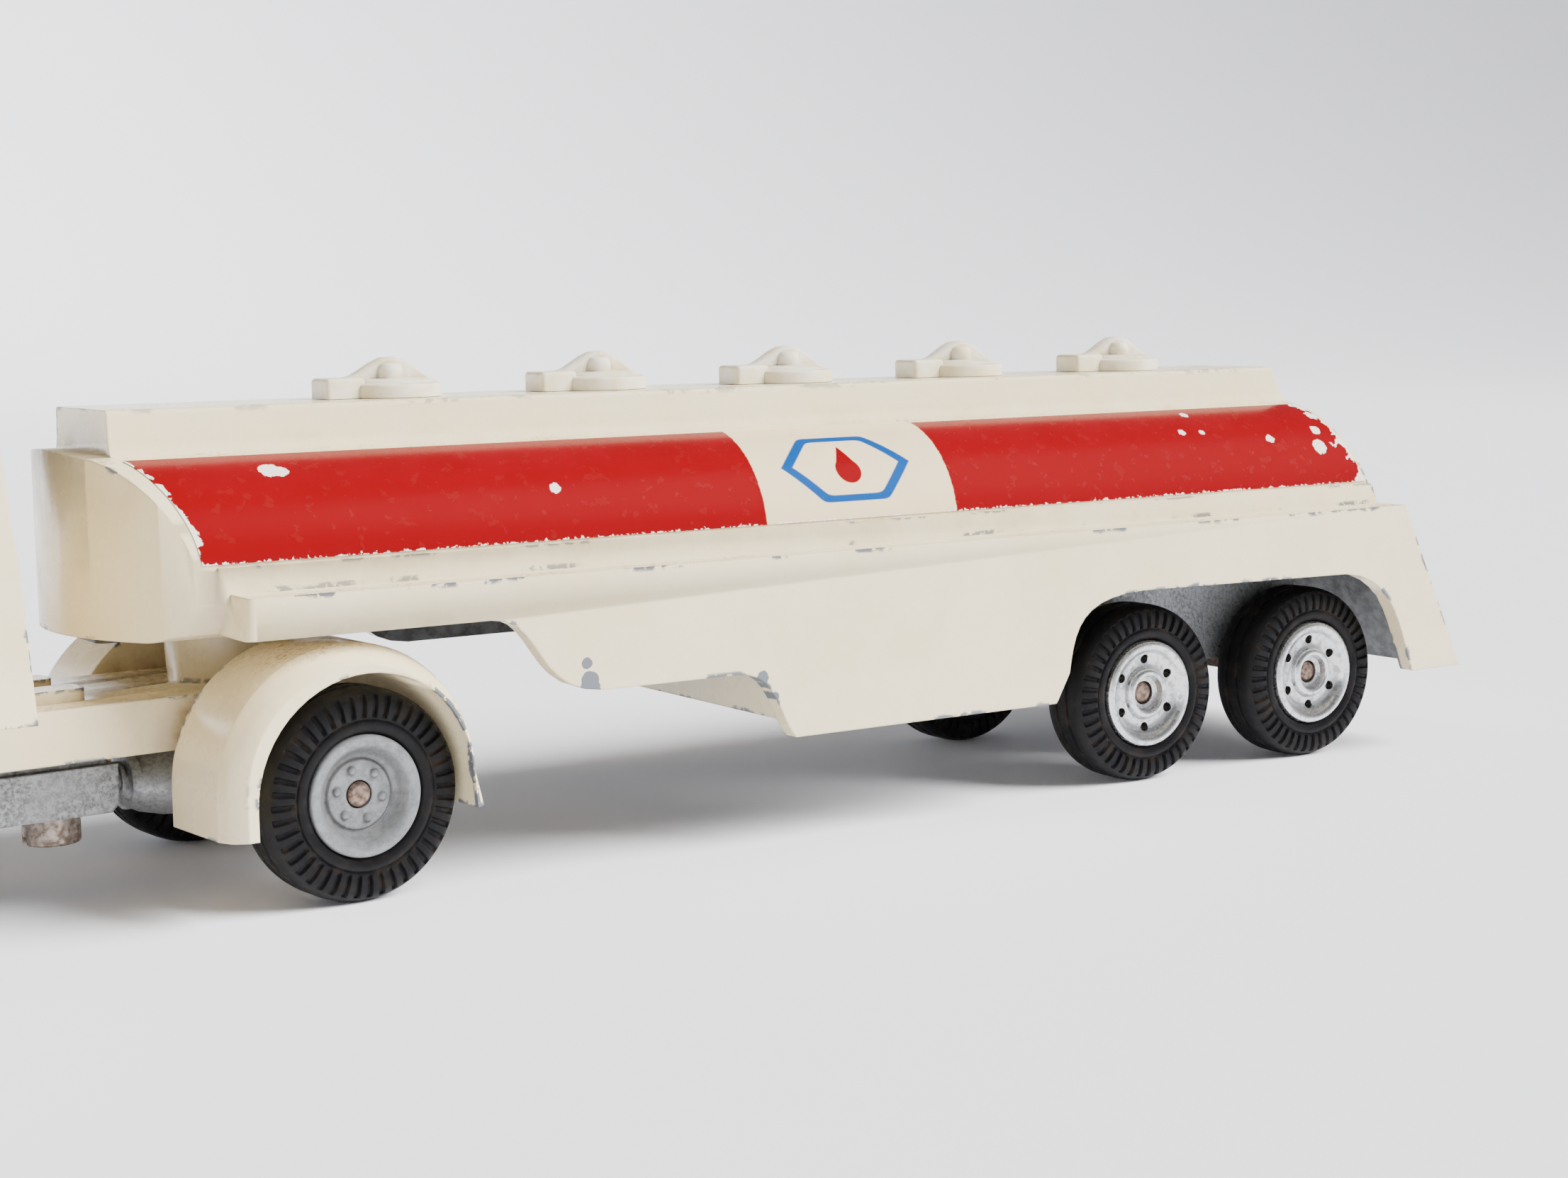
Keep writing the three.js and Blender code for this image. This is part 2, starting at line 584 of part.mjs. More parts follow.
function roundedPlan(x0, x1, half, radius) {
  const s = new THREE.Shape();
  s.moveTo(x0 + radius, -half);
  s.lineTo(x1 - radius, -half);
  s.absarc(x1 - radius, -half + radius, radius, -Math.PI / 2, 0);
  s.absarc(x1 - radius, half - radius, radius, 0, Math.PI / 2);
  s.absarc(x0 + radius, half - radius, radius, Math.PI / 2, Math.PI);
  s.absarc(x0 + radius, -half + radius, radius, Math.PI, 1.5 * Math.PI);
  return s;
}

const BASE_SCREWS_X = [22.8, 60];
// bare base casting: flat block between the axles, ribbed shaft stub and axle housing
function tractorBaseplate() {
  const top = RAIL_BOTTOM - GAP;
  const chamfer = 0.8;
  const rear = 18.2;
  const block = sweepY(
    polygon([
      [rear, BASE_BOTTOM + chamfer],
      [rear + chamfer, BASE_BOTTOM],
      [64, BASE_BOTTOM],
      [64, 13.9],
      [rear, 13.9],
    ]),
    -6,
    6,
  );
  const spine = box(rear + 0.8, 66, -5.2, 5.2, 12.6, top);
  const ribs = [15.6, 16.5, 17.4].map((x) => cylinderX(1.9, x, x + 0.5, 0, 11.1, 20));
  const stub = cylinderX(1.6, 13, rear + 1, 0, 11.1, 20);
  const collar = cylinderX(2.9, 14.4, 15.4, 0, 11.0, 24);
  const bowl = (x, rx, ry, rz) =>
    solid(new THREE.SphereGeometry(1, 20, 12).scale(rx, ry, rz).translate(x, 0, TYRE_R));
  const housing = wasm.Manifold.hull([bowl(9.5, 7.2, 4.6, 3.5), bowl(-1, 6.5, 5.6, 4.1)]);
  const body = join(block, spine, ...ribs, stub, collar, housing.intersect(box(-8, 20, -9, 9, 0, top)));
  const rearRoom = cylinderY(AXLE_R + AXLE_CLEARANCE, -30, 30, 0, TYRE_R, 20);
  const frontRoom = cylinderY(AXLE_R + AXLE_CLEARANCE, -30, 30, WHEELBASE, TYRE_R, 20);
  const screwBores = BASE_SCREWS_X.map((x) => cylinderZ(SCREW_R + GAP, 0, 60, x, 0, 16));
  const pinRoom = cylinderZ(3.7, 13.2, 60, PIN_X, 0, 28);
  return cut(body, rearRoom, frontRoom, pinRoom, ...screwBores);
}

// cab side outline in (x, z); inset moves every wall inwards
function cabOutline(inset = 0) {
  const rearLean = 2.0;
  const noseLean = 3.2;
  const s = new THREE.Shape();
  s.moveTo(CAB_REAR + inset, CAB_BOTTOM - (inset ? 5 : 0));
  s.lineTo(62.5, CAB_BOTTOM - (inset ? 5 : 0));
  if (!inset) {
    s.lineTo(63.5, 9.0);
    s.lineTo(CAB_FRONT - 0.5, 9.0);
  }
  s.lineTo(CAB_FRONT - inset, CAB_BOTTOM - (inset ? 5 : 0));
  s.lineTo(CAB_FRONT - inset, 33);
  s.lineTo(CAB_FRONT - noseLean - inset, CAB_TOP - 3 - inset);
  s.quadraticCurveTo(CAB_FRONT - noseLean - 0.4 - inset, CAB_TOP - inset, CAB_FRONT - 7 - inset, CAB_TOP - inset);
  s.lineTo(CAB_REAR + rearLean + 3 + inset, CAB_TOP - 0.6 - inset);
  s.quadraticCurveTo(
    CAB_REAR + rearLean + inset,
    CAB_TOP - 0.8 - inset,
    CAB_REAR + rearLean + inset,
    CAB_TOP - 4 - inset,
  );
  return s;
}

// cab front view in (y, z): upright sides below the waist, leaning in above it
function cabFace(inset = 0) {
  const half = CAB_HALF - inset;
  const lean = 1.6;
  const top = CAB_TOP - inset;
  const low = inset ? 10 : 8;
  const s = new THREE.Shape();
  s.moveTo(-half, low);
  s.lineTo(half, low);
  s.lineTo(half, 35);
  s.lineTo(half - lean, top - 4.5);
  s.quadraticCurveTo(half - lean - 0.3, top, half - lean - 5, top);
  s.lineTo(-half + lean + 5, top);
  s.quadraticCurveTo(-half + lean + 0.3, top, -half + lean, top - 4.5);
  s.lineTo(-half, 35);
  return s;
}

const WINDOW_LOW = 37.0;
const WINDOW_HIGH = 48.6;
const DOOR_WINDOW = [45.0, 66.5];
const REAR_WINDOW_HALF = 10;
const SCREEN_HALF = 19.6;
function cabWindows(grow) {
  const side = sweepY(
    roundedPlan(DOOR_WINDOW[0] - grow, DOOR_WINDOW[1] + grow, (WINDOW_HIGH - WINDOW_LOW) / 2 + grow, 1.6),
    -40,
    40,
    4,
  ).translate([0, 0, (WINDOW_LOW + WINDOW_HIGH) / 2]);
  const face = (half) =>
    roundedPlan(-half - grow, half + grow, (WINDOW_HIGH - WINDOW_LOW) / 2 + grow, 1.6);
  const middle = (WINDOW_LOW + WINDOW_HIGH) / 2;
  const screen = sweepX(face(SCREEN_HALF), 60, 90, 4).translate([0, 0, middle]);
  const rear = sweepX(face(REAR_WINDOW_HALF), 20, 45, 4).translate([0, 0, middle]);
  return { side, screen, rear };
}

function cabShell() {
  const outer = sweepY(cabOutline(), -40, 40, 5).intersect(sweepX(cabFace(), 0, 100, 5));
  const inner = sweepY(cabOutline(CAB_WALL), -40, 40, 5).intersect(sweepX(cabFace(CAB_WALL), 0, 100, 5));
  const { side, screen, rear } = cabWindows(0);
  const archR = TYRE_R + 1.8;
  const arch = cylinderY(archR, -40, 40, WHEELBASE, TYRE_R, 48);
  const lamps = [-1, 1].map((turn) => cylinderX(LAMP_R + GAP, 70, 80, turn * LAMP_Y, LAMP_Z, 24));
  const grilleRoom = box(CAB_FRONT - 0.9, 80, -GRILLE_HALF - GAP, GRILLE_HALF + GAP, 22.4 - GAP, 30 + GAP);
  const noseRoom = box(60, CAB_FRONT - 2.2, -CAB_HALF + CAB_WALL, CAB_HALF - CAB_WALL, 0, 24);
  const bearerRoom = box(0, 60, -BEARER_HALF - GAP, BEARER_HALF + GAP, 0, BEARER_TOP + GAP);
  return cut(outer, inner, side, screen, rear, arch, noseRoom, bearerRoom, grilleRoom, ...lamps);
}

const LAMP_R = 2.3;
const LAMP_Y = 18.2;
const LAMP_Z = 15.2;
const GRILLE_HALF = 15.5;
function headlamp() {
  const profile = [
    [0, 0.9],
    [1.3, 0.75],
    [2.0, 0.3],
    [LAMP_R, 0],
    [LAMP_R, -0.6],
    [LAMP_R - 0.2, -1.6],
    [0, -1.6],
  ].map(([radius, y]) => new THREE.Vector2(radius, y));
  return solid(new THREE.LatheGeometry(profile, 24).rotateZ(-Math.PI / 2));
}

// plated radiator grille with upright bars
function grille() {
  const x = CAB_FRONT - 0.6;
  const frame = box(x, x + 0.9, -GRILLE_HALF, GRILLE_HALF, 22.4, 30);
  const pocket = box(x + 0.4, x + 2, -GRILLE_HALF + 1, GRILLE_HALF - 1, 23.3, 29.1);
  const bars = Array.from({ length: 13 }, (_, i) => {
    const y = (i - 6) * 2.2;
    return box(x + 0.2, x + 0.8, y - 0.35, y + 0.35, 23, 29.4);
  });
  return join(frame.subtract(pocket), ...bars);
}

// clear moulding inside the cab: one tray of glass behind the screen, side and rear windows
function glazing() {
  const inset = CAB_WALL + 0.15;
  const thick = 0.8;
  const outline = (extra) =>
    sweepY(cabOutline(extra), -40, 40, 5).intersect(sweepX(cabFace(extra), 0, 100, 5));
  const band = box(0, 100, -40, 40, WINDOW_LOW - 1.5, 60);
  return outline(inset).subtract(outline(inset + thick)).intersect(band);
}

function cabInterior() {
  const inner = CAB_HALF - CAB_WALL - 2.8;
  const bottom = BEARER_TOP + 0.4;
  const floor = box(37.5, 66, -inner, inner, bottom, bottom + 1.2);
  const seat = (y0, y1) => {
    const s = new THREE.Shape();
    s.moveTo(39.6, bottom + 0.6);
    s.lineTo(51.5, bottom + 0.6);
    s.lineTo(51.5, 29.5);
    s.quadraticCurveTo(51.2, 31, 49.5, 31);
    s.lineTo(44.5, 30.5);
    s.lineTo(42.9, 41.5);
    s.quadraticCurveTo(41.4, 43, 40.2, 41.5);
    return sweepY(s, y0, y1, 4);
  };
  const engineBox = box(44, 64, -3.4, 3.4, bottom + 0.6, 29);
  const dash = box(62, 66.5, -inner, inner, 30.5, 34.5);
  const dashLeg = box(62.6, 65.6, -inner, inner, bottom + 0.6, 31);
  const column = solid(
    new THREE.CylinderGeometry(0.7, 0.7, 9, 12)
      .rotateZ(0.5)
      .translate(61.6, STEER_Y, 32.6),
  );
  const body = join(floor, seat(-inner, -6), seat(6, inner), engineBox, dash, dashLeg, column);
  return body.subtract(cylinderY(TYRE_R + 1.2, -40, 40, WHEELBASE, TYRE_R, 40));
}

const STEER_Y = -12.5;
function steeringWheel() {
  const rim = solid(new THREE.TorusGeometry(3.4, 0.45, 6, 20));
  const boss = solid(new THREE.CylinderGeometry(0.9, 0.9, 0.9, 14).rotateX(Math.PI / 2));
  const spokes = [0, 1, 2].map((i) => {
    const geometry = new THREE.BoxGeometry(3.4, 0.6, 0.5).translate(1.7, 0, 0);
    return solid(geometry.rotateZ(Math.PI / 2 + (i * 2 * Math.PI) / 3));
  });
  return join(rim, boss, ...spokes);
}

// ---- Assembly ----------------------------------------------------------------------------

function trailer() {
  const group = new THREE.Group();
  group.add(mesh("tank_body", tankBody(), paint));
  group.add(mesh("side_label_left", sideLabel(1), label));
  group.add(mesh("side_label_right", sideLabel(-1), label));
  for (let i = 0; i < HATCH_COUNT; i += 1) {
    const made = mesh(`filler_hatch_${i + 1}`, hatch(), hatchPlastic);
    made.position.set(HATCH_FIRST_X - i * HATCH_PITCH, 0, 0.05);
    group.add(made);
  }
  group.add(mesh("bogie_carrier", bogieCarrier(), zinc));
  BOGIE_SCREWS_X.forEach((x, i) => {
    const made = mesh(`bogie_screw_${["front", "rear"][i]}`, screw(2.2, 20.9, 22.5, 29.5), steel);
    made.position.x = x;
    group.add(made);
  });
  const plate = mesh("coupling_plate", couplingPlate(), blackPlastic);
  plate.position.x = COUPLING_X;
  group.add(plate);
  ["bogie_front", "bogie_rear"].forEach((prefix, i) => {
    const set = wheelset(prefix, TRAILER_TRACK_HALF, trailerHub, TRAILER_HUB_R, plated, 1.0);
    set.position.x = -i * TRAILER_AXLE_SPACING;
    group.add(set);
  });
  return group;
}

function tractor() {
  const group = new THREE.Group();
  group.add(mesh("tractor_chassis", tractorChassis(), paint));
  group.add(mesh("tractor_baseplate", tractorBaseplate(), zinc));
  BASE_SCREWS_X.forEach((x, i) => {
    const name = `baseplate_screw_${["rear", "front"][i]}`;
    const made = mesh(name, screw(2.8, 5.9, BASE_BOTTOM - GAP, 19.4), steel);
    made.position.x = x;
    group.add(made);
  });
  const pin = mesh("coupling_pin", couplingPin(), steel);
  pin.position.x = PIN_X;
  group.add(pin);
  group.add(mesh("cab_shell", cabShell(), paint));
  group.add(mesh("cab_glazing", glazing(), clearPlastic));
  group.add(mesh("cab_interior", cabInterior(), redPlastic));
  const wheel = mesh("steering_wheel", steeringWheel(), blackPlastic);
  wheel.position.set(59.2, STEER_Y, 37.4);
  wheel.rotation.y = -0.5;
  group.add(wheel);
  group.add(mesh("radiator_grille", grille(), plated));
  for (const [word, side] of [["left", 1], ["right", -1]]) {
    const lamp = mesh(`headlamp_${word}`, headlamp(), plated);
    lamp.position.set(CAB_FRONT, side * LAMP_Y, LAMP_Z);
    group.add(lamp);
  }
  ["tractor_rear", "tractor_front"].forEach((prefix, i) => {
    const set = wheelset(prefix, TRACTOR_TRACK_HALF, tractorHub, TRACTOR_HUB_R, zinc, 1.4);
    set.position.x = i * WHEELBASE;
    group.add(set);
  });
  return group;
}

const assembly = new THREE.Group();
const trailerGroup = trailer();
const tractorGroup = tractor();
// the tractor turns about the coupling pin
tractorGroup.position.set(
  COUPLING_X - PIN_X * Math.cos(TRACTOR_TURN),
  -PIN_X * Math.sin(TRACTOR_TURN),
  0,
);
tractorGroup.rotation.z = TRACTOR_TURN;
assembly.add(trailerGroup, tractorGroup);

// the origin is the centre of the model's footprint, on the ground
const root = new THREE.Group();
root.add(assembly);
const footprint = new THREE.Box3().setFromObject(assembly, true);
const centre = footprint.getCenter(new THREE.Vector3());
assembly.position.set(-centre.x, -centre.y, 0);

export default root;
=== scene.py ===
import json
import math

import bmesh
import bpy
from mathutils import Matrix, Vector


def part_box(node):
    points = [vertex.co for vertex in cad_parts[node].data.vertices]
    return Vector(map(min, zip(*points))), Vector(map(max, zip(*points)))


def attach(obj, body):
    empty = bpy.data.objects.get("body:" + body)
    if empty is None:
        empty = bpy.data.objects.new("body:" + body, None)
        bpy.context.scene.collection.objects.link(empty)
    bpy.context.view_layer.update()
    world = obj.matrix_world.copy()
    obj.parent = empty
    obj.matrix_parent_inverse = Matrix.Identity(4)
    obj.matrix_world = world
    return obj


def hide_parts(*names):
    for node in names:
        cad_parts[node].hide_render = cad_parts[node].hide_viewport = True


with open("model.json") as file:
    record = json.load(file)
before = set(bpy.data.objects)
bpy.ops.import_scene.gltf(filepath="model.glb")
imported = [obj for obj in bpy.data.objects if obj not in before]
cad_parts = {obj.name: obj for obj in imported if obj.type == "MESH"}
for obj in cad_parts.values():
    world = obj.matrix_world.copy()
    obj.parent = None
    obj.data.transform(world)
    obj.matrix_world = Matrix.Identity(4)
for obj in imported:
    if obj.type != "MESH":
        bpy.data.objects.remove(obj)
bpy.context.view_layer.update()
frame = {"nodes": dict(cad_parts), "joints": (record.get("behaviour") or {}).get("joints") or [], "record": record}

MM = 0.001
NODES = frame["nodes"]
BODY_OF = {n: body for body, names in frame["record"]["behaviour"]["bodies"].items() for n in names}
SLOT_OF = {s["node"]: s["material_slot"] for s in frame["record"]["subparts"]}

# ---- Camera ------------------------------------------------------------------------------

CAMERA_PLACE = (0.130218, 0.239413, 0.05673)
CAMERA_AZIMUTH = math.radians(147.041)
CAMERA_ELEVATION = math.radians(6.484)
CAMERA_ROLL = math.radians(-0.971)
CAMERA_LENS = 57.311


def add_camera():
    a, e, r = CAMERA_AZIMUTH, CAMERA_ELEVATION, CAMERA_ROLL
    back = Vector((math.sin(a) * math.cos(e), -math.cos(a) * math.cos(e), math.sin(e)))
    right = (-back).cross(Vector((0, 0, 1))).normalized()
    up = right.cross(-back)
    x = right * math.cos(r) + up * math.sin(r)
    y = up * math.cos(r) - right * math.sin(r)
    camera = bpy.data.objects.new("camera", bpy.data.cameras.new("camera"))
    camera.data.sensor_width = 36
    camera.data.sensor_fit = "HORIZONTAL"
    camera.data.lens = CAMERA_LENS
    camera.data.clip_start = 0.01
    place = Matrix((x, y, back)).transposed().to_4x4()
    place.translation = CAMERA_PLACE
    camera.matrix_world = place
    bpy.context.scene.collection.objects.link(camera)
    bpy.context.scene.camera = camera


add_camera()

# ---- Materials ---------------------------------------------------------------------------


class Shader:
    """A material with one Principled shader, and short names for the nodes that feed it."""

    def __init__(self, name, **sockets):
        self.material = bpy.data.materials.new(name)
        self.material.use_nodes = True
        self.tree = self.material.node_tree
        self.surface = self.tree.nodes["Principled BSDF"]
        for key, value in sockets.items():
            self.surface.inputs[key.replace("_", " ")].default_value = value
        self.place = self.add("ShaderNodeTexCoord").outputs["Object"]

    def add(self, kind, values=(), **settings):
        node = self.tree.nodes.new(kind)
        for key, value in settings.items():
            setattr(node, key, value)
        for i, value in enumerate(values):
            if value is None:
                continue
            if isinstance(value, bpy.types.NodeSocket):
                self.tree.links.new(value, node.inputs[i])
            else:
                node.inputs[i].default_value = value
        return node

    def feed(self, socket, value):
        self.tree.links.new(value, self.surface.inputs[socket])

    def noise(self, size_mm, detail=3.0, roughness=0.55):
        node = self.add("ShaderNodeTexNoise")
        self.tree.links.new(self.place, node.inputs["Vector"])
        node.inputs["Scale"].default_value = 1 / (size_mm * MM)
        node.inputs["Detail"].default_value = detail
        node.inputs["Roughness"].default_value = roughness
        return node.outputs["Fac"]

    def span(self, value, low, high, to_low=0.0, to_high=1.0):
        node = self.add("ShaderNodeMapRange", (value, low, high, to_low, to_high))
        return node.outputs["Result"]

    def math(self, operation, a, b=None, c=None):
        return self.add("ShaderNodeMath", (a, b, c), operation=operation).outputs[0]

    def colour(self, factor, a, b):
        node = self.add("ShaderNodeMix", data_type="RGBA")
        for socket, value in ((node.inputs[0], factor), (node.inputs[6], a), (node.inputs[7], b)):
            if isinstance(value, bpy.types.NodeSocket):
                self.tree.links.new(value, socket)
            else:
                socket.default_value = value
        return node.outputs[2]

    def axes(self, place=None):
        node = self.add("ShaderNodeSeparateXYZ", (place or self.place,))
        return node.outputs["X"], node.outputs["Y"], node.outputs["Z"]

    def closeness(self, reach_mm, inside=False):
        """1 in the open, less in corners, or with inside, less near outer edges."""
        node = self.add("ShaderNodeAmbientOcclusion", samples=6, inside=inside, only_local=True)
        node.inputs["Distance"].default_value = reach_mm * MM
        return node.outputs["AO"]

    def bump(self, height, strength, depth_mm, rounding_mm=0.0):
        node = self.add("ShaderNodeBump")
        node.inputs["Strength"].default_value = strength
        node.inputs["Distance"].default_value = depth_mm * MM
        self.tree.links.new(height, node.inputs["Height"])
        if rounding_mm:
            soft = self.add("ShaderNodeBevel", samples=4)
            soft.inputs["Radius"].default_value = rounding_mm * MM
            self.tree.links.new(soft.outputs["Normal"], node.inputs["Normal"])
        self.feed("Normal", node.outputs["Normal"])


def grey(value, warm=0.0):
    return (value * (1 + warm), value, value * (1 - warm), 1)


ROW_SHIFT_X = -64.060  # trailer x to row x, in millimetres
ENAMEL = (0.79, 0.675, 0.44, 1)
# the yellowed tone and the brown serve for real yellowing and dirt specks, and also as painted shade in the
# corners
ENAMEL_YELLOWED_AND_SHADED = (0.70, 0.56, 0.31, 1)
DIRT_AND_SHADE = (0.26, 0.16, 0.07, 1)
CHIP = (0.20, 0.215, 0.235, 1)


def enamel(name, grime=1.0, bare_spots=()):
    """Glossy cream enamel on a zinc casting: dirt and painted shade in the corners, chips along the edges.

    bare_spots gives the x, z and radius of the larger chips on the left side.
    """
    s = Shader(name, Specular_IOR_Level=0.5, Coat_Weight=0.25, Coat_Roughness=0.12)
    # painted shade: the enamel turns yellower and browner where ambient occlusion finds corners, broken up by
    # noise as stains and dirt
    corner_shade = s.span(s.closeness(3.0), 0.92, 0.45)
    patches = s.span(s.noise(9.0, 4), 0.44, 0.66)
    speckle = s.span(s.noise(0.55, 3), 0.50, 0.64)
    stain_and_shade = s.math("MULTIPLY", corner_shade, s.span(s.noise(4.0, 4), 0.38, 0.62, 0.15, 1.0))
    dirt_and_shade = s.math("MULTIPLY", stain_and_shade, s.span(s.noise(0.8, 4), 0.3, 0.6, 0.35, 1.0))
    tone = s.colour(s.math("MULTIPLY", patches, 0.35), ENAMEL, ENAMEL_YELLOWED_AND_SHADED)
    tone = s.colour(s.math("MULTIPLY", stain_and_shade, 0.75), tone, ENAMEL_YELLOWED_AND_SHADED)
    tone = s.colour(s.math("MULTIPLY", dirt_and_shade, 0.72), tone, DIRT_AND_SHADE)
    _, _, up = s.axes(s.add("ShaderNodeNewGeometry").outputs["Normal"])
    level = s.span(up, 0.75, 0.95)
    spread = s.span(s.noise(6.0, 3), 0.45, 0.62, grime - 1.0, 1.0)
    pits = s.math("MULTIPLY", s.math("MULTIPLY", speckle, level), spread)
    tone = s.colour(s.math("MULTIPLY", pits, 0.75 * grime), tone, DIRT_AND_SHADE)
    edge = s.span(s.closeness(0.55, inside=True), 0.93, 0.72)
    worn = s.math("MULTIPLY", s.span(s.noise(7.0, 3), 0.50, 0.60), s.span(s.noise(1.1, 4), 0.40, 0.50))
    chip = s.span(s.math("MULTIPLY", edge, worn), 0.30, 0.42)
    if bare_spots:
        x, y, z = s.axes()
        fine = s.math("MULTIPLY", s.noise(0.5, 2), 0.4 * MM)
        for spot_x, spot_z, radius in bare_spots:
            dx = s.math("SUBTRACT", x, (spot_x + ROW_SHIFT_X) * MM)
            dz = s.math("SUBTRACT", z, spot_z * MM)
            away = s.math("SQRT", s.math("ADD", s.math("MULTIPLY", dx, dx), s.math("MULTIPLY", dz, dz)))
            near = s.span(s.math("SUBTRACT", away, fine), (radius - 0.18) * MM, (radius - 0.24) * MM)
            chip = s.math("MAXIMUM", chip, s.math("MULTIPLY", near, s.span(y, 0.0, 0.001)))
    tone = s.colour(chip, tone, CHIP)
    s.feed("Base Color", tone)
    s.feed("Metallic", s.math("MULTIPLY", chip, 0.5))
    rough = s.math("MAXIMUM", s.span(s.noise(3.0, 3), 0.3, 0.7, 0.20, 0.34), s.math("MULTIPLY", dirt_and_shade, 0.8))
    s.feed("Roughness", s.math("MAXIMUM", rough, s.math("MULTIPLY", chip, 0.55)))
    low = s.math("MULTIPLY", chip, -1.0)
    height = s.math("ADD", s.math("MULTIPLY", s.noise(2.6, 2), 0.5), low)
    s.bump(height, 0.35, 0.10, 0.3)
    return s.material


def cast_zinc(name, light, dark, size_mm, metallic, rough, amount):
    """Grey zinc as it left the mould, mottled and pitted, with painted shade darkening its corners."""
    s = Shader(name, Metallic=metallic)
    mottle = s.span(s.noise(size_mm, 5, roughness=0.7), 0.42, 0.62)
    clouds = s.span(s.noise(5.0, 3), 0.35, 0.65, 0.35, 1.0)
    corner_shade = s.span(s.closeness(2.5), 0.9, 0.4)
    darker = s.math("MULTIPLY", s.math("MULTIPLY", mottle, clouds), amount)
    tone = s.colour(darker, grey(light, -0.03), grey(dark, -0.02))
    # painted shade: dark brown mixed in where ambient occlusion finds corners
    tone = s.colour(s.math("MULTIPLY", corner_shade, 0.6), tone, (0.09, 0.075, 0.06, 1))
    s.feed("Base Color", tone)
    s.feed("Roughness", s.span(mottle, 0, 1, rough, rough + 0.2))
    s.bump(mottle, 0.35, -0.08, 0.3)
    return s.material


def plating(name):
    """Bright plating, spotted, and darkened in the corners by painted shade."""
    s = Shader(name, Metallic=0.95)
    spots = s.span(s.noise(0.7, 4), 0.50, 0.62)
    corner_shade = s.span(s.closeness(1.5), 0.85, 0.3)
    tone = s.colour(s.math("MULTIPLY", spots, 0.45), grey(0.74, -0.01), grey(0.34))
    # painted shade: dark brown in the corners
    tone = s.colour(s.math("MULTIPLY", corner_shade, 0.7), tone, (0.10, 0.08, 0.06, 1))
    s.feed("Base Color", tone)
    s.feed("Roughness", s.span(spots, 0, 1, 0.24, 0.5))
    s.bump(s.noise(1.2, 4), 0.3, 0.06)
    return s.material


def tarnished(name, light, dark):
    """Brown-grey metal of the screws and axle ends."""
    s = Shader(name, Metallic=0.8)
    clouds = s.span(s.noise(0.6, 4), 0.4, 0.62)
    s.feed("Base Color", s.colour(clouds, light, dark))
    s.feed("Roughness", s.span(clouds, 0, 1, 0.34, 0.6))
    s.bump(s.noise(0.3, 3), 0.3, 0.05, 0.15)
    return s.material


def rubber(name):
    """Matt black moulded rubber with brown dust in its hollows."""
    s = Shader(name, Specular_IOR_Level=0.22)
    hollows = s.span(s.closeness(1.4), 0.98, 0.6, 0.25, 1.0)
    dust = s.math("MULTIPLY", s.span(s.noise(2.2, 4), 0.50, 0.68), hollows)
    clouds = s.span(s.noise(4.0, 3), 0.3, 0.7)
    tone = s.colour(clouds, (0.0030, 0.0030, 0.0038, 1), (0.0058, 0.0056, 0.0062, 1))
    s.feed("Base Color", s.colour(s.math("MULTIPLY", dust, 0.4), tone, (0.06, 0.042, 0.028, 1)))
    s.feed("Roughness", s.span(s.noise(1.0, 3), 0.3, 0.7, 0.50, 0.68))
    s.bump(s.noise(0.5, 3), 0.25, 0.06)
    return s.material


def moulded(name, tone, other, rough, soiling_and_shade=0.5, **sockets):
    """Moulded plastic that has yellowed or faded unevenly, with brown dirt and painted shade in its corners."""
    s = Shader(name, **sockets)
    clouds = s.span(s.noise(2.6, 4), 0.40, 0.62)
    grain = s.span(s.noise(0.7, 3), 0.35, 0.6, 0.3, 1.0)
    # brown dirt mixed in along the ambient-occlusion corner mask: painted shade in the corners of pale plastic
    corner_shade = s.math("MULTIPLY", s.span(s.closeness(1.6), 0.9, 0.4), grain)
    colour = s.colour(clouds, tone, other)
    s.feed("Base Color", s.colour(s.math("MULTIPLY", corner_shade, soiling_and_shade), colour, (0.25, 0.17, 0.08, 1)))
    s.feed("Roughness", s.span(s.noise(0.8, 3), 0.3, 0.7, rough, rough + 0.12))
    s.bump(s.noise(0.5, 3), 0.2, 0.05, 0.15)
    return s.material


def glass(name):
    """Clear moulding with fine scuffs."""
    s = Shader(name, Transmission_Weight=1.0, IOR=1.45)
    scuffs = s.span(s.noise(1.5, 5), 0.5, 0.7)
    s.feed("Base Color", s.colour(scuffs, (0.93, 0.96, 0.95, 1), (0.80, 0.83, 0.80, 1)))
    s.feed("Roughness", s.span(scuffs, 0, 1, 0.04, 0.22))
    return s.material


LABEL_RED = (0.190, 0.0008, 0.0035, 1)
# lighter red, used as a painted highlight on the upper shoulder
LABEL_RED_HIGHLIT = (0.225, 0.002, 0.007, 1)
LABEL_IVORY = (0.76, 0.60, 0.37, 1)
MARK_BLUE = (0.004, 0.062, 0.235, 1)
SHOULDER_Y = 7.3  # centre of the tank's shoulder, from the trailer's middle, and its radius
SHOULDER_Z = 31.6
SHOULDER_R = 11.95
IVORY_MIDDLE = 39.45  # trailer x of the ivory patch, and half its length
IVORY_HALF = 12.5
LABEL_NOSE_X = 86.1  # the label's front edge is an arc about this x
LABEL_NOSE_R = 33.7
LABEL_TAIL_X = -37.4  # its rear edge leans with the tail
LABEL_TAIL_LEAN = 0.392
LABEL_SHELF_Z = 30.8
LABEL_FOOT = 2.02  # up the shoulder's arc
MARK_X = 40.0 + ROW_SHIFT_X
MARK_TURN = 40.0  # degrees up the shoulder
MARK_HALF = (8.4, 4.6)
LABEL_CHIPS = (  # trailer x, degrees up the shoulder, radius
    (105.2, 58.6, 1.05),
    (104.2, 57.0, 0.8),
    (76.1, 36.3, 0.6),
    (-13.1, 66.2, 0.55),
    (-10.1, 49.3, 0.5),
    (-13.2, 48.3, 0.42),
    (-23.4, 40.6, 0.6),
    (-30.9, 33.0, 1.05),
    (-31.7, 45.0, 0.7),
)


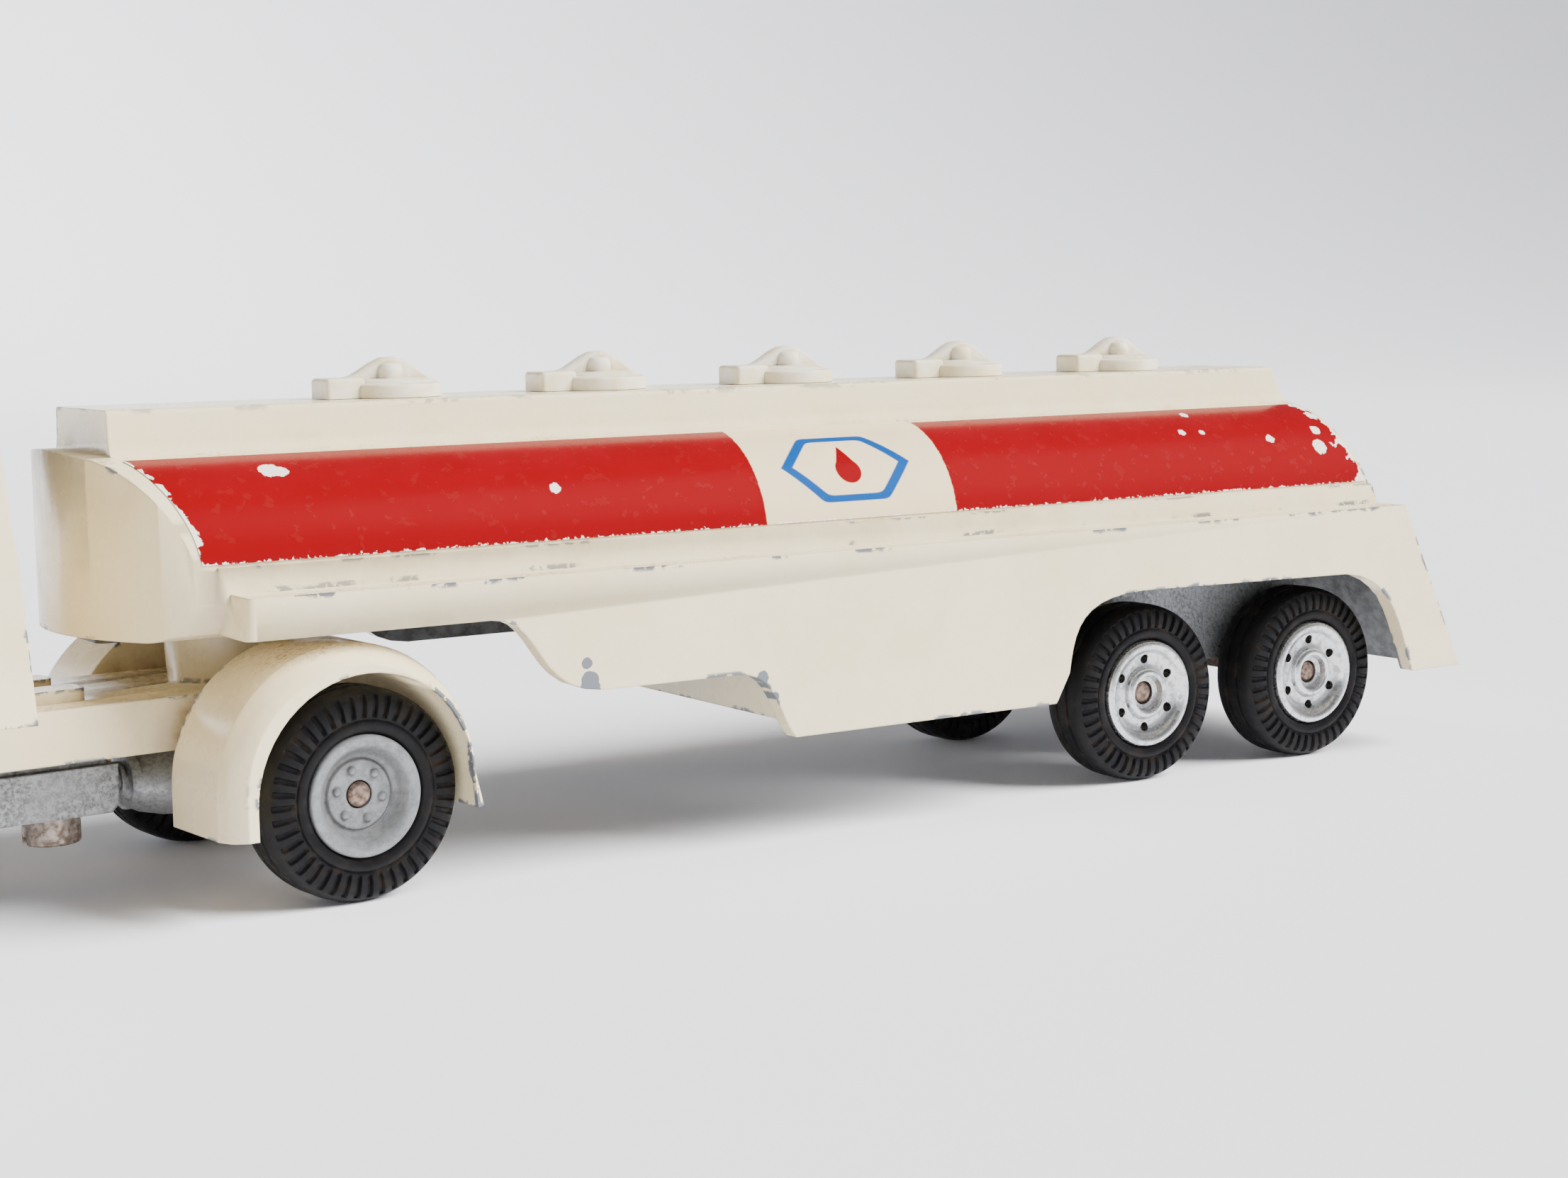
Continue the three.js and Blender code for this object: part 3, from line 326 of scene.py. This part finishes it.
def label(name, side, centre_y):
    """Red, ivory and red strip with a blue and red mark, worn through to the enamel at both ends."""
    s = Shader(name, Specular_IOR_Level=0.22)
    flat = s.add("ShaderNodeVectorMath", (s.place, (1 / MM, 1 / MM, 1 / MM)), operation="MULTIPLY").outputs[0]
    x, y, z = s.axes(flat)
    out = s.math("MULTIPLY", s.math("SUBTRACT", y, centre_y), side)
    turn = s.math("ARCTAN2", s.math("SUBTRACT", z, SHOULDER_Z), s.math("SUBTRACT", out, SHOULDER_Y))
    arc = s.math("MULTIPLY", turn, SHOULDER_R)
    along = s.math("SUBTRACT", x, ROW_SHIFT_X)
    ragged = s.math("SUBTRACT", s.noise(1.6, 3), 0.5)
    fine = s.math("SUBTRACT", s.noise(0.5, 2), 0.5)

    middle = s.math("ABSOLUTE", s.math("SUBTRACT", along, IVORY_MIDDLE))
    edge = s.math("ADD", middle, s.math("MULTIPLY", fine, 0.25))
    ivory = s.span(edge, IVORY_HALF + 0.12, IVORY_HALF)
    # painted highlight: the red turns lighter higher up the shoulder, broken up by noise
    shoulder_highlight = s.math("MULTIPLY", s.span(arc, 7.0, 15.0), s.span(s.noise(7.0, 4), 0.35, 0.65))
    tone = s.colour(s.math("MULTIPLY", shoulder_highlight, 0.8), LABEL_RED, LABEL_RED_HIGHLIT)
    grime = s.span(s.noise(1.3, 4), 0.58, 0.70)
    tone = s.colour(s.math("MULTIPLY", grime, 0.25), tone, (0.20, 0.02, 0.015, 1))
    patch = s.colour(s.span(s.noise(6, 3), 0.4, 0.7), LABEL_IVORY, (0.70, 0.56, 0.35, 1))
    tone = s.colour(ivory, tone, patch)

    # the mark: a six-sided blue ring with a red drop inside
    u = s.math("DIVIDE", s.math("SUBTRACT", x, MARK_X), MARK_HALF[0])
    above = s.math("SUBTRACT", arc, math.radians(MARK_TURN) * SHOULDER_R)
    v = s.math("DIVIDE", above, MARK_HALF[1])
    au, av = s.math("ABSOLUTE", u), s.math("ABSOLUTE", v)
    slant = s.math("ADD", s.math("MULTIPLY", au, 0.80), s.math("MULTIPLY", av, 0.42))
    shape = s.math("SMOOTH_MAX", slant, s.math("MULTIPLY", av, 0.84), 0.12)
    ring = s.math("MULTIPLY", s.span(shape, 0.82, 0.80), s.span(shape, 0.655, 0.675))
    tone = s.colour(ring, tone, MARK_BLUE)
    du = s.math("MULTIPLY", u, MARK_HALF[0] / MARK_HALF[1])
    low = s.math("ADD", v, 0.16)
    ball = s.math("SQRT", s.math("ADD", s.math("MULTIPLY", du, du), s.math("MULTIPLY", low, low)))
    tip = s.math("ADD", s.math("MULTIPLY", s.math("ABSOLUTE", du), 1.75), s.math("MULTIPLY", v, 0.85))
    cone = s.math("MULTIPLY", s.span(tip, 0.52, 0.49), s.span(v, -0.06, -0.04))
    drop = s.math("MAXIMUM", s.span(ball, 0.36, 0.34), cone)
    tone = s.colour(drop, tone, LABEL_RED)

    # where the strip is gone
    ahead = s.math("SUBTRACT", along, LABEL_NOSE_X)
    out_sq = s.math("ADD", s.math("MULTIPLY", ahead, ahead), s.math("MULTIPLY", out, out))
    front = s.math("SUBTRACT", LABEL_NOSE_R, s.math("SQRT", out_sq))
    front = s.math("MAXIMUM", front, s.math("SUBTRACT", LABEL_NOSE_X, along))
    tail = s.math("MULTIPLY", s.math("SUBTRACT", z, LABEL_SHELF_Z), LABEL_TAIL_LEAN)
    rear = s.math("SUBTRACT", along, s.math("ADD", tail, LABEL_TAIL_X))
    front = s.math("ADD", front, s.math("MULTIPLY", ragged, 2.2))
    rear = s.math("ADD", rear, s.math("MULTIPLY", ragged, 6.5))
    bottom = s.math("ADD", s.math("SUBTRACT", arc, LABEL_FOOT), s.math("MULTIPLY", fine, 1.5))
    kept = s.math("MINIMUM", s.math("MINIMUM", front, rear), bottom)
    for chip_x, chip_turn, radius in LABEL_CHIPS:
        dx = s.math("SUBTRACT", along, chip_x)
        da = s.math("SUBTRACT", arc, math.radians(chip_turn) * SHOULDER_R)
        away = s.math("SQRT", s.math("ADD", s.math("MULTIPLY", dx, dx), s.math("MULTIPLY", da, da)))
        away = s.math("ADD", s.math("SUBTRACT", away, radius), s.math("MULTIPLY", fine, 0.6))
        kept = s.math("MINIMUM", kept, away)
    gone = s.span(kept, 0.05, -0.03)
    s.feed("Base Color", s.colour(gone, tone, (0.80, 0.76, 0.66, 1)))
    dull = s.math("ADD", gone, s.math("MULTIPLY", grime, 0.6))
    s.feed("Roughness", s.span(dull, 0, 1, 0.24, 0.40))
    waves = s.math("MULTIPLY", s.noise(5.0, 2), 0.4)
    s.bump(s.math("ADD", s.math("MULTIPLY", gone, -1.0), waves), 0.35, 0.08)
    return s.material


SKIRT_CHIPS = (  # trailer x, height, radius
    (77.0, 21.65, 0.6),
    (76.7, 19.9, 1.0),
    (76.7, 18.9, 1.2),
    (56.3, 18.2, 0.75),
    (55.9, 17.0, 0.6),
    (54.8, 16.1, 0.5),
)
centre_y = (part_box("tank_body")[0].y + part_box("tank_body")[1].y) / 2 / MM
MATERIALS = {
    "cream_enamel": enamel("cream_enamel"),
    "tank_enamel": enamel("tank_enamel", 1.0, SKIRT_CHIPS),
    "deck_enamel": enamel("deck_enamel", 1.35),
    "bare_zinc": cast_zinc("bare_zinc", 0.42, 0.13, 0.5, 0.75, 0.45, 0.75),
    # very dark zinc: bare metal darkened as painted shade inside the tank's hollow
    "tank_inside": cast_zinc("tank_inside", 0.115, 0.045, 1.6, 0.25, 0.55, 0.8),
    "wheel_zinc": cast_zinc("wheel_zinc", 0.30, 0.16, 0.8, 0.6, 0.42, 0.6),
    "hub_disc": cast_zinc("hub_disc", 0.46, 0.24, 0.6, 0.75, 0.38, 0.6),
    "bright_plating": plating("bright_plating"),
    "steel": tarnished("steel", (0.42, 0.36, 0.31, 1), (0.24, 0.18, 0.14, 1)),
    "axle_end": tarnished("axle_end", (0.33, 0.24, 0.19, 1), (0.16, 0.10, 0.075, 1)),
    "tyre_rubber": rubber("tyre_rubber"),
    "hatch_plastic": moulded("hatch_plastic", (0.79, 0.74, 0.61, 1), (0.74, 0.64, 0.42, 1),
                             0.34, 0.6, Subsurface_Weight=0.12, Subsurface_Scale=0.001),
    "black_plastic": moulded("black_plastic", grey(0.012), grey(0.022), 0.38, 0.25),
    "interior_plastic": moulded("interior_plastic", (0.30, 0.022, 0.016, 1), (0.22, 0.015, 0.012, 1),
                                0.4, 0.3),
    "clear_plastic": glass("clear_plastic"),
}
LABELS = {
    "side_label_left": label("printed_label_left", 1.0, centre_y),
    "side_label_right": label("printed_label_right", -1.0, centre_y),
}

# ---- Mesh helpers ------------------------------------------------------------------------

CREASE = 34  # degrees between faces, above which an edge stays sharp
FLATNESS = 0.6  # degrees between faces, below which they are merged
UPRIGHT = Matrix.Rotation(math.pi / 2, 4, "X")  # stands a piece turned about Y on Z


def add_object(name, mesh, material, crease=CREASE):
    obj = bpy.data.objects.new(name, mesh)
    bpy.context.scene.collection.objects.link(obj)
    mesh.materials.clear()
    for m in material if isinstance(material, (list, tuple)) else (material,):
        mesh.materials.append(m)
    mesh.shade_smooth()
    mesh.set_sharp_from_angle(angle=math.radians(crease))
    return obj


def keep_modifiers(obj):
    """Turns the object's modifiers into plain mesh."""
    graph = bpy.context.evaluated_depsgraph_get()
    made = bpy.data.meshes.new_from_object(obj.evaluated_get(graph))
    obj.modifiers.clear()
    obj.data = made
    return obj


def hand_over(obj, node):
    """obj takes the place of one CAD node."""
    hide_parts(node)
    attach(obj, BODY_OF[node])


def refined(node, material=None):
    """A smoothed copy of a CAD node."""
    mesh = NODES[node].data.copy()
    work = bmesh.new()
    work.from_mesh(mesh)
    bmesh.ops.remove_doubles(work, verts=work.verts, dist=1e-6)
    bmesh.ops.dissolve_limit(work, angle_limit=math.radians(FLATNESS), verts=work.verts, edges=work.edges)
    work.to_mesh(mesh)
    work.free()
    obj = add_object(f"{node}_finished", mesh, material or MATERIALS[SLOT_OF[node]])
    hand_over(obj, node)
    return obj


def fillet(profile, closed):
    """Rounds the corners of a profile of (radius, height, rounding) points."""
    done = []
    count = len(profile)
    for i, (r, h, rounding_mm) in enumerate(profile):
        here = Vector((r, h))
        if not rounding_mm or (not closed and i in (0, count - 1)):
            done.append(here)
            continue
        before = Vector(profile[i - 1][:2])
        after = Vector(profile[(i + 1) % count][:2])
        into = (before - here).normalized() * min(rounding_mm, (before - here).length * 0.45)
        out = (after - here).normalized() * min(rounding_mm, (after - here).length * 0.45)
        for t in (0, 0.25, 0.5, 0.75, 1):
            done.append((here + into) * (1 - t) ** 2 + here * 2 * t * (1 - t) + (here + out) * t * t)
    return done


def lathe(profile, steps, closed=True, shape=None, slot_at=None):
    """A profile turned about Y, as a new bmesh. shape moves a point: shape(radius, height, turn)."""
    points = fillet(profile, closed)
    work = bmesh.new()
    rings = []
    for i in range(steps):
        turn = 2 * math.pi * i / steps
        ring = []
        for r, h in points:
            if shape:
                h = shape(r, h, turn)
            ring.append(work.verts.new((r * math.cos(turn) * MM, h * MM, r * math.sin(turn) * MM)))
        rings.append(ring)
    last = len(points) if closed else len(points) - 1
    for i in range(steps):
        a, b = rings[i], rings[(i + 1) % steps]
        for j in range(last):
            k = (j + 1) % len(points)
            face = work.faces.new((a[j], b[j], b[k], a[k]))
            if slot_at:
                face.material_index = slot_at(points[j], points[k])
    bmesh.ops.remove_doubles(work, verts=work.verts, dist=2e-6)
    bmesh.ops.recalc_face_normals(work, faces=work.faces)
    return work


def as_mesh(work, name):
    mesh = bpy.data.meshes.new(name)
    work.to_mesh(mesh)
    work.free()
    return mesh


def joined(name, works):
    """Several bmeshes as one mesh."""
    whole = bmesh.new()
    for work in works:
        part = bpy.data.meshes.new("part")
        work.to_mesh(part)
        work.free()
        whole.from_mesh(part)
        bpy.data.meshes.remove(part)
    return as_mesh(whole, name)


def moved(work, matrix):
    bmesh.ops.transform(work, matrix=matrix, verts=work.verts)
    return work


# ---- Castings and plain pieces -----------------------------------------------------------

SKIRT_INSIDE = 22.5
HOLLOW_FRONT = 96.5 + ROW_SHIFT_X
HOLLOW_REAR = -90.0
HOLLOW_CEILING = 27.5


def finish_tank():
    """The tank casting, whose hollow is left in bare metal, in a zinc much darker than the baseplate's as painted
    shade.
    """
    tank = refined("tank_body", (MATERIALS["tank_enamel"], MATERIALS["tank_inside"]))
    for face in tank.data.polygons:
        x, y, z = face.center.x / MM, face.center.y / MM - centre_y, face.center.z / MM
        n = face.normal
        sides = n.y * y < -0.02 * abs(y) and abs(y) > 1
        ceiling = n.z < -0.3 and z > HOLLOW_CEILING
        tail = x < HOLLOW_REAR and n.x > 0
        nose = abs(x - HOLLOW_FRONT + 0.5) < 0.6
        ends = abs(n.x) > 0.5 and (tail or nose)
        if abs(y) < SKIRT_INSIDE and x < HOLLOW_FRONT and (sides or ceiling or ends):
            face.material_index = 1


refined("tractor_chassis", MATERIALS["deck_enamel"])
refined("cab_shell", MATERIALS["cream_enamel"])
finish_tank()
for name in ("tractor_baseplate", "bogie_carrier", "coupling_plate", "coupling_pin",
             "bogie_screw_front", "bogie_screw_rear", "cab_interior", "steering_wheel",
             "radiator_grille", "headlamp_left", "headlamp_right", "cab_glazing"):
    refined(name)
for name, material in LABELS.items():
    refined(name, material)

# ---- Base screws -------------------------------------------------------------------------

SCREW_HEAD_R = 2.8
SCREW_HEAD = 3.0
SCREW_SHANK_R = 1.1
SLOT_HALF = 0.55
SLOT_DEPTH = 0.9


def base_screw(node, heading):
    """Cheese-head screw seen from below, its slot along the tractor."""
    low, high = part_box(node)
    centre = Vector(((low.x + high.x) / 2, (low.y + high.y) / 2, low.z))
    length = (high.z - low.z) / MM
    profile = [
        (0, 0, 0),
        (SCREW_HEAD_R, 0, 0.35),
        (SCREW_HEAD_R, SCREW_HEAD, 0.15),
        (SCREW_SHANK_R, SCREW_HEAD, 0),
        (SCREW_SHANK_R, length, 0.2),
        (0, length, 0),
    ]
    head = as_mesh(lathe(profile, 64, closed=False), f"{node}_turned")
    obj = add_object(f"{node}_finished", head, MATERIALS["steel"])
    cutter_work = bmesh.new()
    bmesh.ops.create_cube(cutter_work, size=1.0)
    size = Matrix.Diagonal((8 * MM, 2 * SLOT_DEPTH * MM, 2 * SLOT_HALF * MM, 1))
    moved(cutter_work, size)
    cutter = bpy.data.objects.new("slot_cutter", as_mesh(cutter_work, "slot_cutter"))
    bpy.context.scene.collection.objects.link(cutter)
    cut = obj.modifiers.new("slot", "BOOLEAN")
    cut.object = cutter
    cut.solver = "EXACT"
    bpy.context.view_layer.update()
    keep_modifiers(obj)
    bpy.data.objects.remove(cutter)
    turned = Matrix.Rotation(heading, 4, "Z") @ UPRIGHT
    obj.data.transform(Matrix.Translation(centre) @ turned)
    obj.data.set_sharp_from_angle(angle=math.radians(CREASE))
    hand_over(obj, node)


JOINTS = {j["name"]: j for j in frame["joints"]}
AXLE_DIRECTION = Vector(JOINTS["tractor_rear_spin"]["axis"])
TRACTOR_HEADING = math.atan2(-AXLE_DIRECTION.x, AXLE_DIRECTION.y)
for node in ("baseplate_screw_rear", "baseplate_screw_front"):
    base_screw(node, TRACTOR_HEADING)

# ---- Filler hatches ----------------------------------------------------------------------

HATCH_R = 5.1
HATCH_WALL = 1.4
STRAP_FOOT = 1.1


def hatch_block():
    """Hinge block in front of the lid."""
    work = bmesh.new()
    bmesh.ops.create_cube(work, size=1.0)
    size = Matrix.Diagonal((4.3 * MM, 4.4 * MM, 2.1 * MM, 1))
    moved(work, Matrix.Translation((6.05 * MM, 0, 1.05 * MM)) @ size)
    edges = [e for e in work.edges if (e.verts[0].co.z + e.verts[1].co.z) > 0.5 * MM]
    bmesh.ops.bevel(work, geom=edges, offset=0.45 * MM, segments=4, profile=0.5, affect="EDGES")
    return work


def hatch_strap():
    """Arched bar over the lid, tapering to both of its ends."""
    top = [(-4.9, 1.55), (-3.6, 2.2), (-2.2, 3.2), (-1.0, 3.9), (0.1, 4.15),
           (1.2, 4.1), (2.4, 3.6), (3.6, 2.9), (4.6, 2.35), (5.6, 2.1)]
    work = bmesh.new()
    sections = []
    for x, z in top:
        half = 1.0 + 0.35 * max(0.0, 1 - abs(x - 0.3) / 2.5)
        ring = [(-half, STRAP_FOOT), (-half, z - 0.35), (-half + 0.3, z - 0.06), (-half * 0.4, z),
                (half * 0.4, z), (half - 0.3, z - 0.06), (half, z - 0.35), (half, STRAP_FOOT)]
        sections.append([work.verts.new((x * MM, y * MM, h * MM)) for y, h in ring])
    for a, b in zip(sections, sections[1:]):
        for j in range(8):
            k = (j + 1) % 8
            work.faces.new((a[j], a[k], b[k], b[j]))
    work.faces.new(sections[0][::-1])
    work.faces.new(sections[-1])
    bmesh.ops.recalc_face_normals(work, faces=work.faces)
    return work


def hatch(node):
    low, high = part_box(node)
    lid = [
        (0, 0, 0),
        (HATCH_R, 0, 0),
        (HATCH_R, HATCH_WALL, 0.35),
        (HATCH_R - 0.75, HATCH_WALL + 0.05, 0.2),
        (HATCH_R - 1.1, HATCH_WALL + 0.3, 0.2),
        (3.4, HATCH_WALL + 0.5, 0.5),
        (0, HATCH_WALL + 0.75, 0),
    ]
    knob = [(0, 0.8, 0), (1.4, 0.8, 0), (1.4, 2.9, 0.3), (1.1, 3.5, 0.3), (0, 3.6, 0)]
    knob_work = moved(lathe(knob, 28, closed=False), UPRIGHT)
    moved(knob_work, Matrix.Translation((0.7 * MM, 0.9 * MM, 0)))
    lid_work = moved(lathe(lid, 72, closed=False), UPRIGHT)
    mesh = joined(node, [lid_work, hatch_block(), hatch_strap(), knob_work])
    place = Vector((low.x + HATCH_R * MM, (low.y + high.y) / 2, low.z))
    mesh.transform(Matrix.Translation(place))
    obj = add_object(f"{node}_finished", mesh, MATERIALS["hatch_plastic"], 38)
    hand_over(obj, node)


for i in range(1, 6):
    hatch(f"filler_hatch_{i}")

# ---- Wheels ------------------------------------------------------------------------------

TYRE_R = 10.5
TYRE_WIDTH = 7.0
TREAD_BLOCKS = 44
SIDE_GROOVE_DEPTH = 0.38
SIDE_GROOVE_ZONE = (7.75, 9.95)
TRACK_HALF = {"tractor": 22.0, "bogie": 20.7}
HUB_R = {"tractor": 6.0, "bogie": 6.3}
AXLE_INSET = {"tractor": 1.4, "bogie": 1.0}
NUTS = 6
NUT_CIRCLE_R = 2.5
HOLES = 6
HOLE_R = 0.56
HOLE_CIRCLE_R = 4.05


def tyre_work(hub_r):
    """Ribbed sidewall, plain bead ring and a tread with two grooves round it."""
    bore = hub_r + 0.08

    def side(sign, base):
        rows = [
            (bore, -0.55, 0),
            (bore + 0.25, -0.2, 0.15),
            (bore + 0.75, 0.0, 0.25),
            (bore + 1.15, -0.05, 0.12),
            (bore + 1.28, -0.28, 0.06),
            (bore + 1.45, -0.1, 0.08),
            (7.95, -0.03, 0),
            (8.3, 0, 0),
            (8.8, -0.02, 0),
            (9.3, -0.08, 0),
            (9.6, -0.2, 0.1),
            (9.95, -0.45, 0.2),
            (10.3, -1.0, 0.3),
            (10.45, -1.6, 0.2),
        ]
        return [(r, base + sign * h, f) for r, h, f in rows]

    outer = side(1, 0)
    inner = side(-1, -TYRE_WIDTH)[::-1]
    tread = []
    for groove in (-2.6, -4.4):
        tread += [(TYRE_R, groove + 0.28, 0), (TYRE_R - 0.3, groove + 0.2, 0)]
        tread += [(TYRE_R - 0.3, groove - 0.2, 0), (TYRE_R, groove - 0.28, 0)]

    def shape(r, h, turn):
        wave = math.cos(TREAD_BLOCKS * turn)
        depth = SIDE_GROOVE_DEPTH * min(1.0, max(0.0, (wave - 0.45) / 0.25))
        low, high = SIDE_GROOVE_ZONE
        zone = min(1.0, max(0.0, (r - low) / 0.2)) * min(1.0, max(0.0, (high - r) / 0.2))
        outward = 1 if h > -TYRE_WIDTH / 2 else -1
        return h - outward * depth * zone

    return lathe(outer + tread + inner, TREAD_BLOCKS * 8, shape=shape)


def dome(radius, height, steps=14):
    """Small round nut head."""
    profile = [(0, height, 0), (radius * 0.55, height * 0.86, 0), (radius * 0.88, height * 0.5, 0),
               (radius, 0, 0), (radius, -0.3, 0), (0, -0.3, 0)]
    return lathe(profile, steps, closed=False)


def around(radius, height, turn):
    """Move to a place on a circle about Y."""
    return Matrix.Translation((radius * math.cos(turn) * MM, height * MM, radius * math.sin(turn) * MM))


def tractor_hub_work():
    """Dished hub with a flat disc and six nuts; the disc has the second material."""
    profile = [
        (1.38, -2.1, 0),
        (1.38, -1.68, 0.06),
        (3.35, -1.62, 0.1),
        (3.62, -1.95, 0.12),
        (4.1, -1.6, 0.3),
        (4.75, -0.4, 0.35),
        (5.15, -0.12, 0.2),
        (5.85, -0.05, 0.15),
        (6.0, -0.35, 0.1),
        (6.0, -TYRE_WIDTH + 0.2, 0.1),
        (2.6, -TYRE_WIDTH - 0.9, 0.1),
        (1.38, -TYRE_WIDTH - 0.9, 0),
    ]

    def slot_at(a, b):
        return 1 if a[0] < 3.5 and b[0] < 3.6 and a[1] > -2 and b[1] > -2 else 0

    works = [lathe(profile, 96, slot_at=slot_at)]
    for i in range(NUTS):
        turn = (i + 0.2) * 2 * math.pi / NUTS
        nut = dome(0.46, 0.42)
        for face in nut.faces:
            face.material_index = 1
        works.append(moved(nut, around(NUT_CIRCLE_R, -1.64, turn)))
    return works


def trailer_hub_work():
    """Plated hub with a raised boss round the axle."""
    profile = [
        (1.38, -1.5, 0),
        (1.38, -1.0, 0.06),
        (1.95, -0.95, 0.12),
        (2.15, 0.0, 0.14),
        (2.6, 0.08, 0.2),
        (2.95, -0.2, 0.2),
        (3.1, -0.85, 0.2),
        (4.05, -0.95, 0),
        (4.85, -0.6, 0.3),
        (5.25, 0.12, 0.3),
        (5.75, 0.3, 0.3),
        (6.2, 0.1, 0.2),
        (6.3, -0.4, 0.15),
        (6.3, -TYRE_WIDTH + 0.2, 0.1),
        (2.6, -TYRE_WIDTH - 0.6, 0.1),
        (1.38, -TYRE_WIDTH - 0.6, 0),
    ]
    return [lathe(profile, 96)]


def drill_holes(obj):
    """Six blind holes round the dish of a trailer hub."""
    works = []
    for i in range(HOLES):
        turn = (i + 0.5) * 2 * math.pi / HOLES
        work = bmesh.new()
        bmesh.ops.create_cone(work, cap_ends=True, segments=20, radius1=HOLE_R * MM,
                              radius2=HOLE_R * MM, depth=3 * MM)
        works.append(moved(work, around(HOLE_CIRCLE_R, -0.8, turn) @ UPRIGHT))
    cutter = bpy.data.objects.new("hole_cutter", joined("hole_cutter", works))
    bpy.context.scene.collection.objects.link(cutter)
    cut = obj.modifiers.new("holes", "BOOLEAN")
    cut.object = cutter
    cut.solver = "EXACT"
    bpy.context.view_layer.update()
    keep_modifiers(obj)
    bpy.data.objects.remove(cutter)
    obj.data.set_sharp_from_angle(angle=math.radians(CREASE))


def axle_work(half):
    """Plain axle with domed ends."""
    profile = [(0, half, 0), (0.95, half - 0.02, 0.1), (1.25, half - 0.28, 0.15),
               (1.25, -half + 0.28, 0.15), (0.95, -half + 0.02, 0.1), (0, -half, 0)]
    return lathe(profile, 40, closed=False)


def add_wheelset(prefix):
    """One axle with its two tyres and hubs."""
    kind = prefix.split("_")[0]
    joint = JOINTS[f"{prefix}_spin"]
    centre = Vector(joint["pos_m"])
    axis = Vector(joint["axis"]).normalized()
    up = Vector((0, 0, 1))
    base = Matrix((axis.cross(up), axis, up)).transposed().to_4x4()
    base.translation = centre
    axle = as_mesh(axle_work(TRACK_HALF[kind] - AXLE_INSET[kind]), f"{prefix}_axle")
    axle.transform(base)
    hand_over(add_object(f"{prefix}_axle_finished", axle, MATERIALS["axle_end"]), f"{prefix}_axle")
    for word, half_turn in (("left", 0.0), ("right", math.pi)):
        place = base @ Matrix.Rotation(half_turn, 4, "Z") @ Matrix.Translation((0, TRACK_HALF[kind] * MM, 0))
        tyre = as_mesh(tyre_work(HUB_R[kind]), f"{prefix}_tyre_{word}")
        tyre.transform(place)
        tyre_obj = add_object(f"{prefix}_tyre_{word}_finished", tyre, MATERIALS["tyre_rubber"], 50)
        hand_over(tyre_obj, f"{prefix}_tyre_{word}")
        if kind == "tractor":
            works = tractor_hub_work()
            finish = (MATERIALS["wheel_zinc"], MATERIALS["hub_disc"])
        else:
            works = trailer_hub_work()
            finish = MATERIALS["bright_plating"]
        mesh = joined(f"{prefix}_hub_{word}", works)
        hub = add_object(f"{prefix}_hub_{word}_finished", mesh, finish)
        if kind == "bogie":
            drill_holes(hub)
        hub.data.transform(place)
        hand_over(hub, f"{prefix}_hub_{word}")


for prefix in ("tractor_rear", "tractor_front", "bogie_front", "bogie_rear"):
    add_wheelset(prefix)

# ---- Floor and light ---------------------------------------------------------------------


def add_floor():
    """A flat pale floor whose rim curves up all round, well away from the object."""
    flat, curve, steps = 1.4, 0.7, 96
    profile = [(0.0, 0.0), (flat, 0.0)]
    profile += [(flat + curve * math.sin(t), curve * (1 - math.cos(t)))
                for t in (math.pi / 2 * k / 16 for k in range(1, 17))]
    work = bmesh.new()
    rings = [[work.verts.new((r * math.cos(a), r * math.sin(a), z)) for r, z in profile[1:]]
             for a in (2 * math.pi * i / steps for i in range(steps))]
    for one, other in zip(rings, rings[1:] + rings[:1]):
        for j in range(len(one) - 1):
            work.faces.new((one[j], other[j], other[j + 1], one[j + 1]))
    work.faces.new([ring[0] for ring in rings])
    s = Shader("floor", Roughness=0.7)
    tone = s.colour(s.noise(300.0, 2), (0.90, 0.905, 0.94, 1), (0.885, 0.89, 0.925, 1))
    s.feed("Base Color", tone)
    floor = add_object("floor", as_mesh(work, "floor"), s.material, 60)


def add_sun(name, towards, strength, spread):
    """A wide soft light from the direction towards, not seen in reflections."""
    light = bpy.data.lights.new(name, "SUN")
    light.energy = strength
    light.angle = math.radians(spread)
    obj = bpy.data.objects.new(name, light)
    obj.rotation_euler = (-Vector(towards)).to_track_quat("-Z", "Y").to_euler()
    obj.visible_glossy = False
    bpy.context.scene.collection.objects.link(obj)


add_floor()
world = bpy.data.worlds.new("studio")
world.use_nodes = True
world.node_tree.nodes["Background"].inputs["Color"].default_value = (0.86, 0.865, 0.90, 1)
world.node_tree.nodes["Background"].inputs["Strength"].default_value = 0.15
bpy.context.scene.world = world
add_sun("soft_key", (-0.80, 0.60, 0.80), 12.5, 40)
